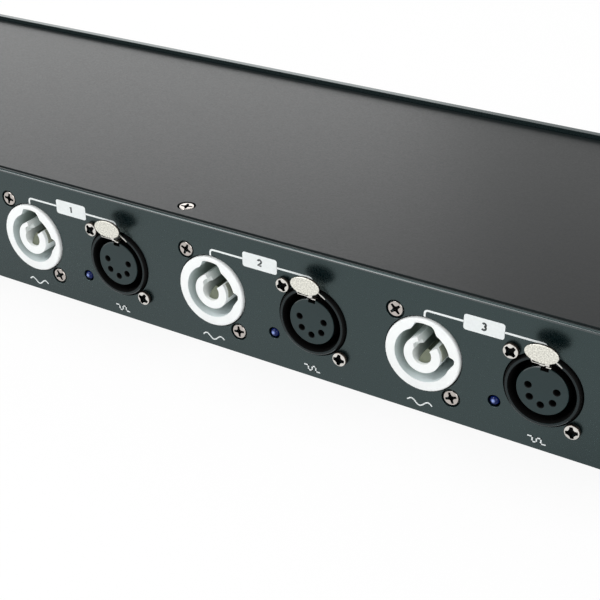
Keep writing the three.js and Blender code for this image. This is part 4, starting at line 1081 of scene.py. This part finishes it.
def pad_tongue():
    ob = prism("pad_tongue", [(-2.9, 12.6), (-2.85, 11.4), (-2.3, 10.92), (1.2, 10.92),
                              (1.4, 11.2), (1.4, 12.6)], 4.0, 4.75)
    return bevelled(ob, 0.12, 2, 40)


def inlet_base():
    low, high = DMX_FLOOR + 0.2, DMX_FLOOR + 2.4
    return lathe("inlet_base", [(0, low), (8.2, low), (8.2, DMX_FLOOR + 2.2), (8.0, high),
                                (0, high)], 96)


def inlet_pins():
    tip = [(max(r, 0), z) for r, z in arc(0, -1.8, PIN_RADIUS, 0, 90, 6)[:-1]]
    obs = []
    for x, y in pin_spots:
        pin = lathe("c", [(0, -12), (PIN_RADIUS, -12), *tip, (0, -1)], 28)
        obs.append(place(pin, at_matrix(x, y, 0)))
    return joined("inlet_pins", obs)


female, male = signal_housing(True), signal_housing(False)
insert, tubes = socket_insert(), socket_contacts()
arm, pad, tongue = lever(), push_pad(), pad_tongue()
base, pins = inlet_base(), inlet_pins()
# Painted shade and painted highlight for the shells and faces.
shade_and_highlight = (M["painted_shade"], M["edge"])
for i, x in signal_x.items():
    where, label, latch = on_face(x), connector("dmx", i), f"latch_{i}"
    dress(female, f"{label}_shell", where, "case", M["shell"], [label],
          shade_and_highlight)
    dress(insert, f"{label}_face", where, "case", M["insert"], [f"{label}_insert"],
          shade_and_highlight)
    dress(tubes, f"{label}_contacts", where, "case", M["contact"])
    dress(arm, f"{label}_lever", where, latch, M["bright"], [f"{label}_latch"],
          (M["pad"],))
    dress(pad, f"{label}_pad", where, latch, M["pad"], (), (M["painted_shade_nickel"],))
    dress(tongue, f"{label}_tongue", where, latch, M["bright"])
where = on_face(SIGNAL_IN_X)
dress(male, "dmx_in_shell", where, "case", M["shell"], ["dmx_in"], shade_and_highlight)
dress(base, "dmx_in_base", where, "case", M["insert"], ["dmx_in_pins"])
dress(pins, "dmx_in_contacts", where, "case", M["gold"])
discard((female, male, insert, tubes, arm, pad, tongue, base, pins))

# ---- lamps


def lamp_lens():
    dome = [(max(r, 0), z) for r, z in arc(0, -1.1, LAMP_RADIUS, 0, 90, 8)[:-1]]
    profile = [(0, LAMP_BASE), (LAMP_FLANGE, LAMP_BASE), (LAMP_FLANGE, -3.9), (LAMP_RADIUS, -3.9),
               *dome, (0, 0.4)]
    return lathe("lamp_lens", profile, 40)


def lamp_legs(reach):
    return joined("lamp_legs", [
        block("c", (x - LEG_HALF, -LEG_HALF, reach), (x + LEG_HALF, LEG_HALF, LAMP_BASE))
        for x in (-LEG_SPREAD, LEG_SPREAD)
    ])


glass = lamp_lens()
rear_legs, front_legs = lamp_legs(REAR_LEGS), lamp_legs(FRONT_LEGS)
lamps = [(f"lamp_{i}", on_face(x + LAMP_DX, CENTRE_Z + LAMP_DY), rear_legs)
         for i, x in signal_x.items()]
lamps.append(("power_lamp", on_panel(lamp_at.x, lamp_at.z), front_legs))
for label, where, legs in lamps:
    dress(glass, f"{label}_lens", where, "case", M["lamp"], [label])
    dress(legs, f"{label}_legs", where, "case", M["terminal"])
discard((glass, rear_legs, front_legs))

# ---- prints


def stroke(points, width):
    """A flat line of constant width through points, as an outline."""
    half = width / 2
    pts = [Vector(p) for p in points]
    left, right = [], []
    for i, p in enumerate(pts):
        a = pts[max(i - 1, 0)]
        b = pts[min(i + 1, len(pts) - 1)]
        way = (b - a).normalized()
        normal = Vector((-way.y, way.x))
        left.append(tuple(p + normal * half))
        right.append(tuple(p - normal * half))
    return left + right[::-1]


def print_piece(name, outlines, where, material, z0=0.005, z1=INK):
    ob = joined(name, [prism(f"{name}_{k}", o, z0, z1) for k, o in enumerate(outlines)])
    return set_piece(ob, where, "case", material)


# Strokes of the numbers, about the middle of a tag.
DIGITS = {
    1: [[(-0.32, 0.55), (0.12, 0.93), (0.12, -1.05)]],
    2: [arc(0, 0.42, 0.62, 165, -35, 12) + [(-0.62, -0.88), (0.68, -0.88)]],
    3: [arc(-0.02, 0.48, 0.52, 150, -80, 12), arc(-0.04, -0.47, 0.6, 85, -150, 14)],
    4: [[(0.28, -1.05), (0.28, 0.95), (-0.68, -0.45), (0.72, -0.45)]],
}


def group_print(i):
    """Bracket from the power to the signal socket, with a numbered tag in it."""
    where = on_face(power_x[i])
    x, y = TAG
    reach = signal_x[i] - power_x[i]
    left = [(-0.2, 12.35), (-0.2, LINE_Y - 1)] + arc(0.8, LINE_Y - 1, 1, 180, 90, 6)
    left += [(x - 6.0, LINE_Y)]
    right = [(x + 6.0, LINE_Y), (reach - 1.3, LINE_Y)]
    right += arc(reach - 1.3, LINE_Y - 1, 1, 90, 0, 6) + [(reach - 0.3, 12.2)]
    outlines = [stroke(left, LINE_WIDTH), stroke(right, LINE_WIDTH), rounded(*TAG_SIZE, 0.8, x, y)]
    print_piece(f"group_{i}_bracket", outlines, where, M["ink"])
    digit = [stroke([(x + u, y + v) for u, v in line], DIGIT_WIDTH) for line in DIGITS[i]]
    print_piece(f"group_{i}_number", digit, where, M["tag_ink"], INK, INK + 0.03)


def wave():
    """One and a half sine waves: alternating current."""
    x0, x1, height = POWER_MARK
    n = 36
    return [stroke([(x0 + (x1 - x0) * k / n, MARK_Y + height / 2 * math.sin(3 * math.pi * k / n))
                    for k in range(n + 1)], MARK_WIDTH)]


def bar(low, high):
    """A rectangle between two corners, wider on all sides by half a mark's width."""
    w = MARK_WIDTH / 2
    x0, y0, x1, y1 = low[0] - w, low[1] - w, high[0] + w, high[1] + w
    return [(x0, y0), (x1, y0), (x1, y1), (x0, y1)]


def pulses():
    """A square wave: a digital signal."""
    x0, x1, height = SIGNAL_MARK
    step = (x1 - x0) / 4
    low, high = MARK_Y - height / 2, MARK_Y + height / 2
    bars = []
    for k in range(4):
        level = high if k % 2 == 0 else low
        bars.append(bar((x0 + k * step, level), (x0 + (k + 1) * step, level)))
    for k in range(1, 4):
        bars.append(bar((x0 + k * step, low), (x0 + k * step, high)))
    return bars


for i in OUTPUTS:
    group_print(i)
    print_piece(f"group_{i}_power_mark", wave(), on_face(power_x[i]), M["ink"])
    print_piece(f"group_{i}_signal_mark", pulses(), on_face(signal_x[i]), M["ink"])
print_piece("power_in_mark", wave(), on_face(INLET_X), M["ink"])
print_piece("dmx_in_mark", pulses(), on_face(SIGNAL_IN_X), M["ink"])

# ---- switch


def switch_bezel():
    ob = prism("switch_bezel", rounded(*BEZEL, CORNER), 0.2, 2.0, [rounded(*BEZEL_HOLE, 0.3)])
    return bevelled(ob, 0.3, 3, 50)


def switch_body():
    ob = prism("switch_body", rounded(*SWITCH_BODY, 0.3), -16, 0.9)
    return boolean(ob, [block("c", (-4.15, -8, -7), (4.15, 8, 3))])


def switch_blades():
    return joined("switch_blades", [
        block("c", (-2.4, y - 0.4, -23), (2.4, y + 0.4, -15.8)) for y in (-4, 4)
    ])


def rocker():
    """Drawn about its pivot, as (out, up), with a face that rises towards both ends."""
    slope = math.tan(math.radians(ROCKER_TILT))
    wide, half = ROCKER_HALF
    steps = 10
    heights = (half * (1 - 2 * k / steps) for k in range(steps + 1))
    face = [(ROCKER_CROWN + abs(u) * slope, u) for u in heights]
    side = [(-3, half - 1.5), (0, half), *face, (0, -half), (-3, -half + 1.5)]
    return bevelled(place(prism("c", side, -wide, wide), FROM_SIDE), 0.3, 3, 50)


def rocker_mark(sign, outline, holes=()):
    """A print on one half of the rocker's face, with its place there."""
    ob = prism("rocker_mark_on" if sign > 0 else "rocker_mark_off", outline, 0, 0.04, holes)
    lean = turned(sign * ROCKER_TILT, "X")
    return ob, Matrix.Translation((0, 0, ROCKER_CROWN * MM)) @ lean


where = on_panel(switch_at.x, switch_at.z)
set_piece(switch_bezel(), where, "case", M["black"], ["switch_housing"])
set_piece(switch_body(), where, "case", M["black"])
set_piece(switch_blades(), where, "case", M["terminal"])
pivot = Matrix.Translation((0, 0, ROCKER_PIVOT * MM))
tilt = where @ pivot @ turned(ROCKER_TILT, "X")
set_piece(rocker(), tilt, "rocker", M["black"], ["switch_rocker"])
on_bar = [(-0.22, 3.2), (0.22, 3.2), (0.22, 5.4), (-0.22, 5.4)]
off_ring = [arc(0, -4.3, r, 0, 360, 32)[:-1] for r in (1.1, 0.72)]
for mark, lie in (rocker_mark(1, on_bar), rocker_mark(-1, off_ring[0], off_ring[1:])):
    set_piece(mark, tilt @ lie, "rocker", M["ink"])

# ---- the CAD nodes that stay


def paint(node, material):
    data = nodes[node].data
    data.materials.clear()
    data.materials.append(material)


for node, look in (("main_board", "board"), ("power_supply", "board"),
                   ("mains_lead", "lead"), ("supply_lead", "lead")):
    paint(node, M[look])

# ---- even shading on flat faces


def even_normals():
    """Gives each mesh made here weighted normals, once where several objects share it."""
    done = set()
    kept = set(nodes.values())
    for ob in list(bpy.context.scene.objects):
        if ob.type != "MESH" or ob in kept or ob.data in done:
            continue
        mod = ob.modifiers.new("even", "WEIGHTED_NORMAL")
        mod.keep_sharp = True
        graph = bpy.context.evaluated_depsgraph_get()
        me = bpy.data.meshes.new_from_object(ob.evaluated_get(graph), depsgraph=graph,
                                             preserve_all_data_layers=True)
        old = ob.data
        ob.modifiers.clear()
        for other in [o for o in bpy.context.scene.objects if o.type == "MESH" and o.data == old]:
            other.data = me
        done.add(me)


even_normals()

# ---- studio


# Colour of the floor, and half its side in millimetres.
FLOOR_GREY = 0.86
FLOOR_HALF = 4000
# Mirrored in the panel, the floor is a little darker towards both ends: x in metres, and shares.
MIRROR_ENDS = (((-0.06, 0.01), (0.65, 1.0)), ((0.105, 0.142), (1.0, 0.5)))
# Away from the object the floor keeps no shadow and runs into the white behind it.
NEAR_AND_FAR = (0.7, 2.2)
GLOW_SHARES = (0.86, 1.0)
# Mirrored in the case, the sweep is white near the horizon and the ceiling above it is dim.
SWEEP_HEIGHTS = (0.42, 0.8)
SWEEP_LEVELS = (1.0, 0.3)
WORLD_LEVEL = 0.45
# Name, place, target, size in metres and power of each soft light.
SOFT_LIGHTS = (
    ("key", (-0.9, -1.0, 1.5), (0, 0, 0), (1.2, 1.2), 20),
    ("fill", (1.3, -1.1, 0.9), (0.1, 0, 0), (1.0, 1.0), 7),
    ("top", (0.0, 0.5, 1.6), (0, 0, 0), (1.6, 1.0), 9),
    ("back_left", (-1.25, 1.15, 0.72), (-0.1, 0, 0), (1.6, 0.8), 5.0),
)


def seen_straight(tree, path):
    """1 for what the camera sees itself or through glass."""
    return tree.maths("MAXIMUM", path.outputs["Is Camera Ray"], path.outputs["Is Transmission Ray"])


def white_floor():
    """Floor that looks white, by a share of plain glow that depends on the ray and the place."""
    bm = bmesh.new()
    bmesh.ops.create_grid(bm, x_segments=1, y_segments=1, size=FLOOR_HALF)
    floor = from_bmesh("floor", bm)
    n = Nodes("floor_white")
    n.set(Base_Color=(FLOOR_GREY, FLOOR_GREY, FLOOR_GREY, 1), Roughness=0.9)
    glow = n.add("ShaderNodeEmission", Color=(1, 1, 1, 1), Strength=1.0)
    path = n.add("ShaderNodeLightPath")
    where = n.add("ShaderNodeNewGeometry").outputs["Position"]
    x = n.add("ShaderNodeSeparateXYZ", Vector=where).outputs["X"]
    ends = [n.step(x, *end) for end in MIRROR_ENDS]
    mirrored = n.maths("MULTIPLY", path.outputs["Is Glossy Ray"], n.maths("MULTIPLY", *ends))
    away = n.add("ShaderNodeVectorMath", Vector=where)
    away.operation = "LENGTH"
    far = n.step(away.outputs["Value"], NEAR_AND_FAR, GLOW_SHARES)
    share = n.maths("MULTIPLY", n.maths("MAXIMUM", seen_straight(n, path), mirrored), far)
    mix = n.add("ShaderNodeMixShader")
    for socket, value in zip(mix.inputs, (share, n.shader.outputs[0], glow.outputs[0])):
        n.feed(socket, value)
    n.feed(n.output.inputs["Surface"], mix.outputs[0])
    floor.data.materials.append(n.material)


def white_world():
    """World that the camera sees as white and that lights the object at a plain level."""
    world = bpy.data.worlds.new("studio")
    bpy.context.scene.world = world
    n = Tree(world)
    back = n.nodes["Background"]
    back.inputs["Color"].default_value = (1, 1, 1, 1)
    path = n.add("ShaderNodeLightPath")
    way = n.add("ShaderNodeSeparateXYZ", Vector=n.add("ShaderNodeTexCoord").outputs["Generated"])
    sweep = n.step(way.outputs["Z"], SWEEP_HEIGHTS, SWEEP_LEVELS)
    mirrored = n.add("ShaderNodeMix", A=WORLD_LEVEL, B=sweep,
                     Factor=path.outputs["Is Glossy Ray"])
    seen = n.add("ShaderNodeMix", A=mirrored.outputs["Result"], B=1.0,
                 Factor=seen_straight(n, path))
    n.feed(back.inputs["Strength"], seen.outputs["Result"])


def soft_light(name, spot, target, size, power):
    data = bpy.data.lights.new(name, "AREA")
    data.shape = "RECTANGLE"
    data.size, data.size_y = size
    data.energy = power
    ob = link(bpy.data.objects.new(name, data))
    ob.location = spot
    way = Vector(target) - Vector(spot)
    ob.rotation_euler = way.to_track_quat("-Z", "Y").to_euler()


white_floor()
white_world()
for light in SOFT_LIGHTS:
    soft_light(*light)
bpy.context.scene.view_settings.view_transform = "Standard"
